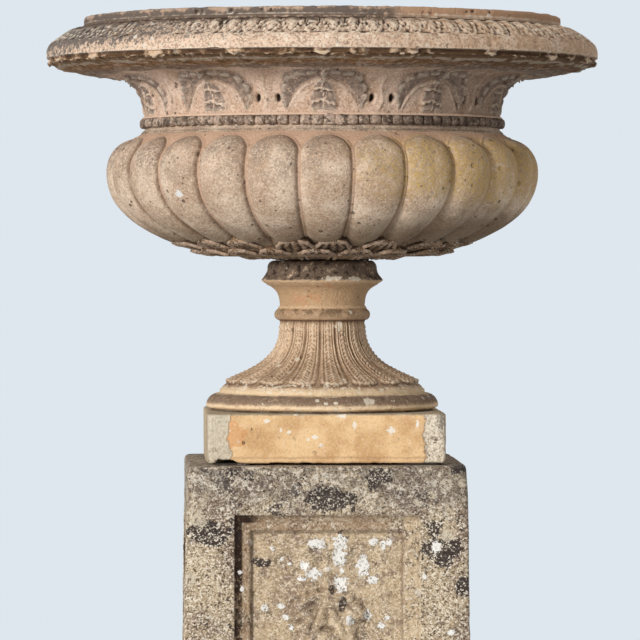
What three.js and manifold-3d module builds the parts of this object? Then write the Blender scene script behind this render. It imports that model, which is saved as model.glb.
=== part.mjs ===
// A garden urn of buff terracotta on a carved stone pedestal.
//
// The pedestal is two stones, a moulded base and a panelled die, bedded on mortar and dowelled.
// The urn is three hollow terracotta sections, a square plinth, a waisted socle and a gadrooned
// bowl, bedded on each other and drawn together by an iron rod. It stands dry on four lead packers.
// Sizes are in millimetres, +Z is up, the front faces -Y, and the origin is under the base's middle.

import * as THREE from "three";
import { mergeVertices } from "three/addons/utils/BufferGeometryUtils.js";
import Module from "manifold-3d";

// Fits
const SEAT_GAP = 0.3; // left between two pieces that rest on each other
const BOLT_CLEARANCE = 0.6; // all round the rod where it passes through a hole
const DOWEL_CLEARANCE = 0.4; // all round a dowel in its socket, and at its ends

// Pedestal base, a square block with a moulded top edge
const BASE_WIDTH = 470;
const BASE_BLOCK_HEIGHT = 64; // the plain lower part
const BASE_MOULD_HEIGHT = 34; // the hollow and round above it
const BASE_FILLET_HEIGHT = 12; // the flat band at the top
const BASE_LEDGE = 9; // what the base shows round the foot of the die

// Pedestal die, tapering upwards, with a sunk panel on each side
const DIE_TOP_WIDTH = 376;
const DIE_BOTTOM_WIDTH = 390;
const DIE_HEIGHT = 600;
const DIE_ARRIS = 3; // worn edge round the top
const PANEL_SIDE_MARGIN = 64;
const PANEL_END_MARGIN = 70;
const PANEL_COVE_WIDTH = 13;
const PANEL_COVE_DEPTH = 8;
const PANEL_FILLET_WIDTH = 9;
const PANEL_STEP_DEPTH = 6; // from the fillet down to the sunk ground

// A drop of leaves carved on the ground of each panel, in pairs that get smaller downwards
const DROP_ROWS = 6;
const DROP_TOP = 128; // above the middle of the panel
const DROP_PITCH = 52;
const DROP_LEAN = 33; // degrees that a leaf hangs out from straight down
const DROP_LEAF_LENGTH = 74;
const DROP_LEAF_WIDTH = 46;
const DROP_LEAF_HEIGHT = 10;
const DROP_ROOT = 1; // sunk into the ground so that the leaf is one with the stone

const MORTAR_THICKNESS = 4;
const MORTAR_RECESS = 5; // the joint is raked out this far from the die's face

// Iron dowels between the two stones
const DOWEL_DIAMETER = 20;
const DOWEL_DEPTH = 50; // into each stone
const DOWEL_SPACING = 200;

// Lead packers under the urn
const PACKER_LENGTH = 44;
const PACKER_WIDTH = 22;
const PACKER_THICKNESS = 2.4;

// Square plinth of the urn, open underneath
const PLINTH_WIDTH = 322;
const PLINTH_HEIGHT = 65.4;
const PLINTH_WALL = 28;
const PLINTH_SLAB = 24;
const PLINTH_HOLE_RADIUS = 30;

// Socle, from its base upwards
const TORUS_RADIUS = 158.5;
const TORUS_HEIGHT = 21;
const TORUS_FOOT_INSET = 3; // how far the torus draws in where it meets the plinth
const SOCLE_FILLET_RADIUS = 140;
const SOCLE_FILLET_HEIGHT = 6;
const SCOTIA_HEIGHT = 95;
const WAIST_RADIUS = 57;
const ASTRAGAL_HEIGHT = 16;
const COVE_HEIGHT = 40;
const ARRIS_RADIUS = 83;
const KNOP_HEIGHT = 23;
const SOCLE_TOP_RADIUS = 68;
const SOCLE_WALL = 24;

// Beds between the terracotta sections
const BED_THICKNESS = 2;
const BED_RECESS = 4; // behind the edge of the section above or below

// Bowl, with heights measured from its underside
const CALYX_FOOT_RADIUS = 158;
const CALYX_FOOT_Z = 4;
const CALYX_LEAVES = 18;
const CALYX_THICKNESS = 6;
const BELLY_RADIUS = 294.4;
const BELLY_Z = 118;
const GADROONS = 25;
const GADROON_DEPTH = 10.5;
const SHOULDER_RADIUS = 251;
const SHOULDER_Z = 173;
const BEADS = 100;
const BEAD_RADIUS = 250.5; // out to the crown of a bead
const BEAD_DEPTH = 5;
const BEAD_HEIGHT = 12.5;
const BEAD_Z = 183.5; // middle of the row
const NECK_RADIUS = 242.5;
const NECK_Z = 196;
const MOTIFS = 10; // arches of leaves round the neck
const MOTIF_TURN = -1.35; // degrees from the middle of a gadroon to the middle of an arch
const LEAF_TIPS = 20; // tips that curl over under the rim, above each arch and each stem
const LEAF_TIP_RADIUS = 326;
const LEAF_TIP_DROP = 7;
const RIM_UNDER_RADIUS = 292; // where the neck's sweep meets the rim's underside
const RIM_UNDER_Z = 251.5;
const RIM_RADIUS = 376.3;
const RIM_BAND_Z = 258.5; // bottom of the plain band round the rim
const RIM_WIDEST_Z = 276;
const RIM_TOP_RADIUS = 326;
const RIM_TOP_Z = 316;
const LIP_RADIUS = 325;
const LIP_WIDTH = 27;
const LIP_FOOT_Z = 320;
const BOWL_HEIGHT = 329;
const BOWL_WALL = 28;
const BOWL_FLOOR = 34;
const FLOOR_RADIUS = 120; // flat part of the floor inside
const BOWL_TURN = -0.5; // degrees that the bowl stands round from square with its plinth

// Drain holes in the floor of the bowl, round the rod
const DRAINS = 3;
const DRAIN_RADIUS = 7;
const DRAIN_CIRCLE = 32;

// Rod, washers, nuts and the bar that the rod pulls against
const ROD_DIAMETER = 16;
const ROD_END = 10; // left standing past each nut
const NUT_WIDTH = 24; // across flats
const NUT_HEIGHT = 13;
const LEAD_WASHER_RADIUS = 23;
const LEAD_WASHER_THICKNESS = 3;
const IRON_WASHER_RADIUS = 22;
const IRON_WASHER_THICKNESS = 5;
const BAR_LENGTH = 190;
const BAR_WIDTH = 40;
const BAR_THICKNESS = 8;

// Facets once round each kind of surface
const RIM_COLUMNS = 60;
const INNER_COLUMNS = 32;
const TORUS_COLUMNS = 44;
const WAIST_COLUMNS = 32;
const SMALL_COLUMNS = 20;

const library = await Module();
library.setup();

// Colour, roughness and metalness of each stuff
const STUFFS = {
  stone: [0x8f8778, 0.95, 0],
  mortar: [0xa9a295, 1, 0],
  terracotta: [0xb99a76, 0.9, 0],
  plinthTerracotta: [0xc6a468, 0.9, 0],
  iron: [0x5a4436, 0.8, 0.6],
  lead: [0x6f7173, 0.6, 0.8],
};

function at(r, z) {
  return new THREE.Vector2(r, z);
}

// Points along a cubic curve in the plane of radius and height, without its first point
function sweep(from, pullFrom, pullTo, to, steps) {
  return new THREE.CubicBezierCurve(from, pullFrom, pullTo, to).getPoints(steps).slice(1);
}

// Points along an elliptical arc in the same plane, angles in degrees from straight out
function arc(centre, outward, upward, fromAngle, toAngle, steps) {
  const points = [];
  for (let i = 0; i <= steps; i++) {
    const angle = THREE.MathUtils.degToRad(THREE.MathUtils.lerp(fromAngle, toAngle, i / steps));
    points.push(at(centre.x + outward * Math.cos(angle), centre.y + upward * Math.sin(angle)));
  }
  return points;
}

// A ring is one turn of points about the axis, in order of angle
function ring(angles, pointAt) {
  return angles.map((angle, index) => {
    const point = pointAt(angle, index);
    const position = new THREE.Vector3(
      point.x * Math.cos(angle),
      point.x * Math.sin(angle),
      point.y,
    );
    return { angle, position };
  });
}

function evenAngles(columns, turn = 0) {
  return Array.from({ length: columns }, (_, i) => turn + (2 * Math.PI * i) / columns);
}

function circle(columns, point) {
  return ring(evenAngles(columns), () => point);
}

// A square ring, with its corners on the diagonals
function square(width, z) {
  return ring(evenAngles(4, Math.PI / 4), () => at(width / Math.SQRT2, z));
}

// A ring of four corners of a rectangle in a flat plane at height z
function rectangle(width, depth, z) {
  const corners = [
    [1, 1],
    [-1, 1],
    [-1, -1],
    [1, -1],
  ];
  return corners.map(([x, y], i) => ({
    angle: Math.PI / 4 + (i * Math.PI) / 2,
    position: new THREE.Vector3((x * width) / 2, (y * depth) / 2, z),
  }));
}

// Joins two rings of any two counts with triangles, always stepping to the nearer next angle
function stitch(lower, upper, faces) {
  const turn = 2 * Math.PI;
  let i = 0;
  let j = 0;
  while (i < lower.length || j < upper.length) {
    const nextLower = i < lower.length ? lower[(i + 1) % lower.length].angle : Infinity;
    const nextUpper = j < upper.length ? upper[(j + 1) % upper.length].angle : Infinity;
    const lowerAngle = i + 1 === lower.length ? nextLower + turn : nextLower;
    const upperAngle = j + 1 === upper.length ? nextUpper + turn : nextUpper;
    const a = lower[i % lower.length];
    const b = upper[j % upper.length];
    if (lowerAngle <= upperAngle) {
      faces.push([a, lower[(i + 1) % lower.length], b]);
      i++;
    } else {
      faces.push([a, upper[(j + 1) % upper.length], b]);
      j++;
    }
  }
}

function cap(points, facesUp, faces) {
  for (let i = 1; i + 1 < points.length; i++) {
    const [second, third] = facesUp ? [points[i], points[i + 1]] : [points[i + 1], points[i]];
    faces.push([points[0], second, third]);
  }
}

// A closed surface through rings that run out along the underside and up the outside. A hollow
// one comes back down the inside and meets its first ring, and a plain one is capped at both ends.
function loft(rings, hollow) {
  const faces = [];
  for (let i = 0; i + 1 < rings.length; i++) stitch(rings[i], rings[i + 1], faces);
  if (hollow) {
    stitch(rings[rings.length - 1], rings[0], faces);
  } else {
    cap(rings[0], false, faces);
    cap(rings[rings.length - 1], true, faces);
  }
  const numbers = new Map();
  rings.flat().forEach((corner, index) => numbers.set(corner, index));
  const geometry = new THREE.BufferGeometry();
  const coordinates = rings.flat().flatMap((corner) => corner.position.toArray());
  geometry.setAttribute("position", new THREE.Float32BufferAttribute(coordinates, 3));
  geometry.setIndex(faces.flat().map((corner) => numbers.get(corner)));
  return geometry;
}

function toSolid(geometry) {
  const bare = geometry.clone();
  bare.deleteAttribute("normal");
  bare.deleteAttribute("uv");
  const merged = mergeVertices(bare, 1e-4);
  return new library.Manifold(
    new library.Mesh({
      numProp: 3,
      vertProperties: new Float32Array(merged.getAttribute("position").array),
      triVerts: new Uint32Array(merged.getIndex().array),
    }),
  );
}

function toGeometry(solid) {
  const mesh = solid.getMesh();
  const geometry = new THREE.BufferGeometry();
  geometry.setAttribute("position", new THREE.BufferAttribute(mesh.vertProperties, 3));
  geometry.setIndex(new THREE.BufferAttribute(mesh.triVerts, 1));
  return geometry;
}

function cutAway(geometry, cutters) {
  let solid = toSolid(geometry);
  for (const cutter of cutters) solid = solid.subtract(toSolid(cutter));
  return toGeometry(solid);
}

function addOn(geometry, additions) {
  let solid = toSolid(geometry);
  for (const addition of additions) solid = solid.add(toSolid(addition));
  return toGeometry(solid);
}

function cylinder(radius, bottom, top, columns = SMALL_COLUMNS) {
  return loft([circle(columns, at(radius, bottom)), circle(columns, at(radius, top))], false);
}

function tube(innerRadius, outerRadius, bottom, top, columns) {
  const corners = [
    at(innerRadius, bottom),
    at(outerRadius, bottom),
    at(outerRadius, top),
    at(innerRadius, top),
  ];
  return loft(corners.map((corner) => circle(columns, corner)), true);
}

function piece(name, stuff, geometry) {
  const [color, roughness, metalness] = STUFFS[stuff];
  const material = new THREE.MeshStandardMaterial({ color, roughness, metalness });
  const mesh = new THREE.Mesh(geometry, material);
  mesh.name = name;
  return mesh;
}

// Levels of the pedestal, from the ground up
const baseTop = BASE_BLOCK_HEIGHT + BASE_MOULD_HEIGHT + BASE_FILLET_HEIGHT;
const mortarBottom = baseTop + SEAT_GAP;
const dieBottom = mortarBottom + MORTAR_THICKNESS + SEAT_GAP;
const dieTop = dieBottom + DIE_HEIGHT;
const packerBottom = dieTop + SEAT_GAP;
const urnBottom = packerBottom + PACKER_THICKNESS + SEAT_GAP;

// Sockets for the two dowels, cut up or down from a bedding face
function dowelSockets(face, depth) {
  const radius = DOWEL_DIAMETER / 2 + DOWEL_CLEARANCE;
  const [low, high] = depth > 0 ? [face - 1, face + depth] : [face + depth, face + 1];
  return [-1, 1].map((side) =>
    cylinder(radius, low, high).translate((side * DOWEL_SPACING) / 2, 0, 0),
  );
}

// Base: a plain block, then a hollow moulding drawn in under a flat band
function basePlinth() {
  const topWidth = DIE_BOTTOM_WIDTH + 2 * BASE_LEDGE;
  const steps = 4;
  const rings = [square(BASE_WIDTH, 0), square(BASE_WIDTH, BASE_BLOCK_HEIGHT)];
  for (let i = 1; i <= steps; i++) {
    const angle = (i / steps) * (Math.PI / 2);
    const width = topWidth + (BASE_WIDTH - topWidth) * Math.cos(angle);
    rings.push(square(width, BASE_BLOCK_HEIGHT + BASE_MOULD_HEIGHT * Math.sin(angle)));
  }
  rings.push(square(topWidth, baseTop));
  const depth = DOWEL_DEPTH + DOWEL_CLEARANCE;
  return cutAway(loft(rings, false), dowelSockets(baseTop, -depth));
}

// What is cut out of one side of the die: a hollow moulding, a fillet and the sunk ground. It
// starts a little outside the face and goes down along +Z.
function panelCutter(width, height) {
  const outside = 2;
  const steps = 3;
  const rings = [rectangle(width, height, -outside), rectangle(width, height, 0)];
  for (let i = 1; i <= steps; i++) {
    const angle = (i / steps) * (Math.PI / 2);
    const inset = 2 * PANEL_COVE_WIDTH * (1 - Math.cos(angle));
    rings.push(rectangle(width - inset, height - inset, PANEL_COVE_DEPTH * Math.sin(angle)));
  }
  const inset = 2 * (PANEL_COVE_WIDTH + PANEL_FILLET_WIDTH);
  rings.push(rectangle(width - inset, height - inset, PANEL_COVE_DEPTH));
  rings.push(rectangle(width - inset, height - inset, PANEL_COVE_DEPTH + PANEL_STEP_DEPTH));
  return loft(rings, false);
}

// One carved leaf, a diamond with sloping sides, which hangs from the origin towards +Y. It lies on
// the panel's ground, and its crown looks along -Z as the panel does.
function carvedLeaf(length, width) {
  const ground = PANEL_COVE_DEPTH + PANEL_STEP_DEPTH;
  const diamond = (share, z) => {
    const middle = length * 0.48;
    const corners = [
      [width / 2, middle],
      [0, length],
      [-width / 2, middle],
      [0, 0],
    ];
    return corners.map(([x, y], i) => ({
      angle: (i * Math.PI) / 2,
      position: new THREE.Vector3(x * share, middle + (y - middle) * share, z),
    }));
  };
  return loft([diamond(0.45, ground - DROP_LEAF_HEIGHT), diamond(1, ground + DROP_ROOT)], false);
}

// The leaves of one panel, in the frame of its cutter
function carvedDrop() {
  const leaves = [];
  for (let row = 0; row < DROP_ROWS; row++) {
    const size = 1 - 0.09 * row;
    const top = row * DROP_PITCH * (1 - 0.04 * row) - DROP_TOP;
    for (const side of [-1, 1]) {
      const leaf = carvedLeaf(DROP_LEAF_LENGTH * size, DROP_LEAF_WIDTH * size);
      const turn = THREE.MathUtils.degToRad(-side * DROP_LEAN);
      leaves.push(leaf.rotateZ(turn).translate(0, top, 0));
    }
  }
  return leaves;
}

function pedestalDie() {
  const rings = [
    square(DIE_BOTTOM_WIDTH, dieBottom),
    square(DIE_TOP_WIDTH, dieTop - DIE_ARRIS),
    square(DIE_TOP_WIDTH - 2 * DIE_ARRIS, dieTop),
  ];
  const lean = Math.atan((DIE_BOTTOM_WIDTH - DIE_TOP_WIDTH) / 2 / DIE_HEIGHT);
  const faceOut = (DIE_TOP_WIDTH + DIE_BOTTOM_WIDTH) / 4;
  const width = DIE_TOP_WIDTH - 2 * PANEL_SIDE_MARGIN;
  const height = DIE_HEIGHT - 2 * PANEL_END_MARGIN;
  const ontoSide = (geometry, side) =>
    geometry
      .rotateX(-Math.PI / 2 - lean)
      .translate(0, -faceOut, dieBottom + DIE_HEIGHT / 2)
      .rotateZ((side * Math.PI) / 2);
  const sides = [0, 1, 2, 3];
  const cutters = sides.map((side) => ontoSide(panelCutter(width, height), side));
  const leaves = sides.flatMap((side) => carvedDrop().map((leaf) => ontoSide(leaf, side)));
  const depth = DOWEL_DEPTH + DOWEL_CLEARANCE;
  const plain = cutAway(loft(rings, false), [...cutters, ...dowelSockets(dieBottom, depth)]);
  return addOn(plain, leaves);
}

function mortarBed() {
  const width = DIE_BOTTOM_WIDTH - 2 * MORTAR_RECESS;
  const top = mortarBottom + MORTAR_THICKNESS;
  const bed = loft([square(width, mortarBottom), square(width, top)], false);
  return cutAway(bed, dowelSockets(mortarBottom, MORTAR_THICKNESS + 1));
}

function dieDowel(side) {
  const low = baseTop - DOWEL_DEPTH;
  const high = dieBottom + DOWEL_DEPTH;
  return cylinder(DOWEL_DIAMETER / 2, low, high).translate((side * DOWEL_SPACING) / 2, 0, 0);
}

// A packer lies under one corner of the urn's plinth, within the thickness of its wall
function packer(sideX, sideY) {
  const bottom = packerBottom;
  const sheet = loft(
    [
      rectangle(PACKER_LENGTH, PACKER_WIDTH, bottom),
      rectangle(PACKER_LENGTH, PACKER_WIDTH, bottom + PACKER_THICKNESS),
    ],
    false,
  );
  const x = PLINTH_WIDTH / 2 - PLINTH_WALL / 2 - PACKER_LENGTH / 2;
  const y = PLINTH_WIDTH / 2 - PLINTH_WALL / 2;
  return sheet.translate(sideX * x, sideY * y, 0);
}

// Levels of the urn, from the underside of its plinth
const slabBottom = PLINTH_HEIGHT - PLINTH_SLAB;
const socleBedBottom = PLINTH_HEIGHT + SEAT_GAP;
const socleBottom = socleBedBottom + BED_THICKNESS + SEAT_GAP;
const filletBottom = socleBottom + TORUS_HEIGHT;
const scotiaBottom = filletBottom + SOCLE_FILLET_HEIGHT;
const astragalBottom = scotiaBottom + SCOTIA_HEIGHT;
const coveBottom = astragalBottom + ASTRAGAL_HEIGHT;
const arrisHeight = coveBottom + COVE_HEIGHT;
const socleTop = arrisHeight + KNOP_HEIGHT;
const bowlBedBottom = socleTop + SEAT_GAP;
const bowlBottom = bowlBedBottom + BED_THICKNESS + SEAT_GAP;

function footPlinth() {
  const inside = PLINTH_WIDTH - 2 * PLINTH_WALL;
  return loft(
    [
      square(inside, 0),
      square(PLINTH_WIDTH, 0),
      square(PLINTH_WIDTH, PLINTH_HEIGHT),
      circle(SMALL_COLUMNS, at(PLINTH_HOLE_RADIUS, PLINTH_HEIGHT)),
      circle(SMALL_COLUMNS, at(PLINTH_HOLE_RADIUS, slabBottom)),
      square(inside, slabBottom),
    ],
    true,
  );
}

const socleBaseInside = SOCLE_FILLET_RADIUS - SOCLE_WALL;
const socleTopInside = SOCLE_TOP_RADIUS - SOCLE_WALL;

// Socle: torus, fillet, a long hollow up to the waist, a bead, and a hollow out to the knop
function footSocle() {
  const footRadius = TORUS_RADIUS - TORUS_FOOT_INSET;
  const torus = arc(
    at(SOCLE_FILLET_RADIUS, socleBottom + TORUS_HEIGHT * 0.42),
    TORUS_RADIUS - SOCLE_FILLET_RADIUS,
    TORUS_HEIGHT * 0.58,
    -40,
    90,
    5,
  );
  const lower = [
    at(socleBaseInside, socleBottom),
    at(footRadius, socleBottom),
    ...torus,
    at(SOCLE_FILLET_RADIUS, scotiaBottom),
  ];
  const spread = SOCLE_FILLET_RADIUS - WAIST_RADIUS;
  const scotia = sweep(
    at(SOCLE_FILLET_RADIUS, scotiaBottom),
    at(WAIST_RADIUS + spread * 0.9, scotiaBottom + SCOTIA_HEIGHT * 0.2),
    at(WAIST_RADIUS - spread * 0.04, scotiaBottom + SCOTIA_HEIGHT * 0.27),
    at(WAIST_RADIUS, astragalBottom),
    7,
  );
  const half = ASTRAGAL_HEIGHT / 2;
  const astragal = arc(at(WAIST_RADIUS, astragalBottom + half), half, half, -60, 60, 3);
  const coveReach = ARRIS_RADIUS - WAIST_RADIUS;
  const cove = sweep(
    at(WAIST_RADIUS + 1, coveBottom),
    at(WAIST_RADIUS + 1, coveBottom + COVE_HEIGHT * 0.5),
    at(WAIST_RADIUS + coveReach * 0.42, arrisHeight - COVE_HEIGHT * 0.2),
    at(ARRIS_RADIUS, arrisHeight),
    4,
  );
  const knop = sweep(
    at(ARRIS_RADIUS, arrisHeight),
    at(THREE.MathUtils.lerp(SOCLE_TOP_RADIUS, ARRIS_RADIUS, 0.7), arrisHeight + KNOP_HEIGHT * 0.15),
    at(THREE.MathUtils.lerp(SOCLE_TOP_RADIUS, ARRIS_RADIUS, 0.7), arrisHeight + KNOP_HEIGHT * 0.7),
    at(SOCLE_TOP_RADIUS, socleTop),
    3,
  );
  const bore = WAIST_RADIUS - SOCLE_WALL;
  const inside = [
    at(socleTopInside, socleTop),
    at(socleTopInside, arrisHeight),
    ...sweep(
      at(bore, coveBottom),
      at(bore, scotiaBottom + SCOTIA_HEIGHT * 0.5),
      at(bore, scotiaBottom + SCOTIA_HEIGHT * 0.45),
      at(socleBaseInside, filletBottom),
      4,
    ),
  ];
  const waistUp = [...scotia.slice(3), ...astragal, at(WAIST_RADIUS + 1, coveBottom), ...cove, ...knop];
  return loft(
    [
      ...[...lower, ...scotia.slice(0, 3)].map((point) => circle(TORUS_COLUMNS, point)),
      ...[...waistUp, ...inside.slice(0, 2)].map((point) => circle(WAIST_COLUMNS, point)),
      circle(WAIST_COLUMNS, at(bore, coveBottom)),
      ...inside.slice(2).map((point) => circle(WAIST_COLUMNS, point)),
    ],
    true,
  );
}

// Where a gadroon's columns lie across its half width, and how far each stands out of the groove
const LOBE_COLUMNS = [-1, -0.84, -0.5, 0, 0.5, 0.84];
const LOBE_RISE = [0, 0.62, 0.93, 1, 0.93, 0.62];

// One ring of gadroons. Where they end in round heads they are narrower, and the ground shows
// between them.
function gadroonRing(point, width) {
  const pitch = (2 * Math.PI) / GADROONS;
  const angles = [];
  const rises = [];
  for (let lobe = 0; lobe < GADROONS; lobe++) {
    LOBE_COLUMNS.forEach((across, i) => {
      const reach = i === 0 ? across : across * width;
      angles.push(pitch * (lobe + reach / 2));
      rises.push(LOBE_RISE[i]);
    });
  }
  const height = Math.sqrt(width);
  return ring(angles, (angle, i) => at(point.x - GADROON_DEPTH * (1 - rises[i] * height), point.y));
}

// The bowl's outline from the calyx to the widest part, and on to the shoulder
const lowerBelly = new THREE.CubicBezierCurve(
  at(CALYX_FOOT_RADIUS, CALYX_FOOT_Z),
  at(THREE.MathUtils.lerp(CALYX_FOOT_RADIUS, BELLY_RADIUS, 0.645), BELLY_Z * 0.285),
  at(BELLY_RADIUS, BELLY_Z * 0.525),
  at(BELLY_RADIUS, BELLY_Z),
);
const shoulderRise = SHOULDER_Z - BELLY_Z;
const upperBelly = new THREE.CubicBezierCurve(
  at(BELLY_RADIUS, BELLY_Z),
  at(BELLY_RADIUS, BELLY_Z + shoulderRise * 0.5),
  at(THREE.MathUtils.lerp(SHOULDER_RADIUS, BELLY_RADIUS, 0.55), BELLY_Z + shoulderRise * 0.74),
  at(SHOULDER_RADIUS, SHOULDER_Z),
);

// A ring of leaf edges standing off the bowl, with their tips up the curve and notches between
function calyxRing(standOff) {
  const tip = 0.3;
  const notch = 0.19;
  return ring(evenAngles(CALYX_LEAVES * 4), (angle, i) => {
    const across = Math.abs(((i % 4) - 2) / 2);
    const place = THREE.MathUtils.lerp(tip, notch, across * across);
    const point = lowerBelly.getPoint(place);
    const along = lowerBelly.getTangent(place);
    return at(point.x + along.y * standOff, point.y - along.x * standOff);
  });
}

// The neck's leaf ornament. Columns lie at shares of half a motif's width from its middle. Each
// ring has its share of the way up the neck and, for the middle and then each column outwards, how
// far it stands out: a spear in the middle, an arch of leaves round it, a stem between motifs.
const MOTIF_COLUMNS = [0, 0.25, 0.55, 0.78, 1];
const MOTIF_RINGS = [
  [0.07, [5, 0, 0, 7, 1.5]],
  [0.24, [8, 0, 5, 9, 1.5]],
  [0.42, [8, 0, 8, 9, 1.5]],
  [0.6, [3, 6, 9, 4, 1.5]],
  [0.76, [9, 9, 5, 0, 1.5]],
  [0.88, [0, 0, 0, 0, 0]],
];

function motifRing(neck, share, rises) {
  const half = Math.PI / MOTIFS;
  const turn = THREE.MathUtils.degToRad(MOTIF_TURN);
  const last = MOTIF_COLUMNS.length - 1;
  const order = [...MOTIF_COLUMNS.keys(), ...[...MOTIF_COLUMNS.keys()].slice(1, last).reverse()];
  const angles = [];
  const stands = [];
  for (let motif = 0; motif < MOTIFS; motif++) {
    order.forEach((column, i) => {
      const reach = i <= last ? MOTIF_COLUMNS[column] : 2 - MOTIF_COLUMNS[column];
      angles.push(turn + half * (2 * motif + reach));
      stands.push(rises[column]);
    });
  }
  const point = neck.getPointAt(share);
  const along = neck.getTangentAt(share);
  return ring(angles, (angle, i) => at(point.x + along.y * stands[i], point.y - along.x * stands[i]));
}

// The bowl: calyx, gadroons with round heads, bead row, neck, rim and lip, then back down inside
function bowl() {
  const hole = ROD_DIAMETER / 2 + BOLT_CLEARANCE;
  const underside = [
    circle(SMALL_COLUMNS, at(hole, 0)),
    circle(WAIST_COLUMNS, at(SOCLE_TOP_RADIUS, 0)),
    circle(RIM_COLUMNS, at(SOCLE_TOP_RADIUS + CALYX_FOOT_Z, CALYX_FOOT_Z)),
    circle(RIM_COLUMNS, at(CALYX_FOOT_RADIUS - CALYX_THICKNESS, CALYX_FOOT_Z)),
    circle(RIM_COLUMNS, at(CALYX_FOOT_RADIUS + CALYX_THICKNESS, CALYX_FOOT_Z + 2)),
  ];
  const calyx = [calyxRing(CALYX_THICKNESS * 0.4), calyxRing(-GADROON_DEPTH * 0.6)];
  const lobes = [0.36, 0.48, 0.62, 0.8, 1].map((t) => gadroonRing(lowerBelly.getPoint(t), 1));
  const heads = [
    [0.3, 1],
    [0.52, 0.97],
    [0.7, 0.82],
    [0.83, 0.58],
    [0.9, 0.25],
  ].map(([t, width]) => gadroonRing(upperBelly.getPoint(t), width));

  const beadAngles = evenAngles(BEADS * 2);
  const gapRadius = BEAD_RADIUS - BEAD_DEPTH;
  const beads = [
    circle(BEADS * 2, at(gapRadius, BEAD_Z - BEAD_HEIGHT / 2)),
    ring(beadAngles, (angle, i) => at(i % 2 ? gapRadius : BEAD_RADIUS, BEAD_Z)),
    circle(BEADS * 2, at(gapRadius, BEAD_Z + BEAD_HEIGHT / 2)),
  ];

  const neckRise = RIM_UNDER_Z - NECK_Z;
  const neckCurve = new THREE.CubicBezierCurve(
    at(NECK_RADIUS, NECK_Z),
    at(NECK_RADIUS, NECK_Z + neckRise * 0.58),
    at(THREE.MathUtils.lerp(NECK_RADIUS, RIM_UNDER_RADIUS, 0.25), NECK_Z + neckRise * 0.94),
    at(RIM_UNDER_RADIUS, RIM_UNDER_Z),
  );
  const neck = MOTIF_RINGS.map(([share, rises]) => motifRing(neckCurve, share, rises));
  const motifTurn = THREE.MathUtils.degToRad(MOTIF_TURN);
  const tips = ring(evenAngles(LEAF_TIPS * 2, motifTurn), (angle, i) =>
    at(LEAF_TIP_RADIUS, RIM_UNDER_Z + 3 - (i % 2 ? 0 : LEAF_TIP_DROP)),
  );
  const bandRise = RIM_WIDEST_Z - RIM_BAND_Z;
  const rim = [
    at(RIM_RADIUS - bandRise * 2.2, RIM_BAND_Z - bandRise * 0.35),
    ...arc(at(RIM_RADIUS - bandRise / 2, RIM_WIDEST_Z), bandRise / 2, bandRise, -90, 0, 3),
    ...sweep(
      at(RIM_RADIUS, RIM_WIDEST_Z),
      at(RIM_RADIUS, RIM_WIDEST_Z + 20),
      at(THREE.MathUtils.lerp(RIM_TOP_RADIUS, RIM_RADIUS, 0.46), RIM_TOP_Z - 11),
      at(RIM_TOP_RADIUS, RIM_TOP_Z),
      5,
    ),
    at(LIP_RADIUS, LIP_FOOT_Z),
    at(LIP_RADIUS, BOWL_HEIGHT - 5),
    at(LIP_RADIUS - 5, BOWL_HEIGHT),
  ];

  const lipInside = LIP_RADIUS - LIP_WIDTH;
  const neckInside = NECK_RADIUS - BOWL_WALL;
  const bellyInside = BELLY_RADIUS - BOWL_WALL;
  const throat = at(lipInside - 14, RIM_UNDER_Z + BOWL_WALL + 4);
  const inside = [
    at(lipInside + 5, BOWL_HEIGHT),
    at(lipInside, BOWL_HEIGHT - 6),
    ...sweep(
      at(lipInside, BOWL_HEIGHT - 6),
      at(lipInside + 26, BOWL_HEIGHT - 24),
      at(lipInside + 14, throat.y + 1),
      throat,
      3,
    ),
    ...sweep(
      throat,
      at(THREE.MathUtils.lerp(neckInside, throat.x, 0.3), throat.y - 4),
      at(neckInside, throat.y - 26),
      at(neckInside, NECK_Z + 10),
      3,
    ),
    ...sweep(
      at(neckInside, NECK_Z + 10),
      at(neckInside, SHOULDER_Z - 18),
      at(bellyInside, SHOULDER_Z - 34),
      at(bellyInside, BELLY_Z),
      3,
    ),
    ...sweep(
      at(bellyInside, BELLY_Z),
      at(bellyInside, BELLY_Z * 0.7),
      at(THREE.MathUtils.lerp(FLOOR_RADIUS, bellyInside, 0.65), BOWL_FLOOR + 6),
      at(FLOOR_RADIUS, BOWL_FLOOR),
      5,
    ),
  ];

  const shell = loft(
    [
      ...underside,
      ...calyx,
      ...lobes,
      ...heads,
      circle(GADROONS * 4, at(SHOULDER_RADIUS - GADROON_DEPTH / 2, SHOULDER_Z)),
      ...beads,
      circle(RIM_COLUMNS, at(NECK_RADIUS, NECK_Z)),
      ...neck,
      circle(RIM_COLUMNS, at(RIM_UNDER_RADIUS, RIM_UNDER_Z)),
      tips,
      ...rim.map((point) => circle(RIM_COLUMNS, point)),
      ...inside.map((point) => circle(INNER_COLUMNS, point)),
      circle(SMALL_COLUMNS, at(hole, BOWL_FLOOR)),
    ],
    true,
  );
  const drains = evenAngles(DRAINS).map((angle) =>
    cylinder(DRAIN_RADIUS, -1, BOWL_FLOOR + 1, 12).translate(
      DRAIN_CIRCLE * Math.cos(angle),
      DRAIN_CIRCLE * Math.sin(angle),
      0,
    ),
  );
  return cutAway(shell, drains);
}

// Levels of the rod and what is on it, in the urn
const leadWasherBottom = bowlBottom + BOWL_FLOOR + SEAT_GAP;
const ironWasherBottom = leadWasherBottom + LEAD_WASHER_THICKNESS + SEAT_GAP;
const topNutBottom = ironWasherBottom + IRON_WASHER_THICKNESS + SEAT_GAP;
const barBottom = slabBottom - SEAT_GAP - BAR_THICKNESS;
const bottomNutBottom = barBottom - SEAT_GAP - NUT_HEIGHT;
const boltHole = ROD_DIAMETER / 2 + BOLT_CLEARANCE;

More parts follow.
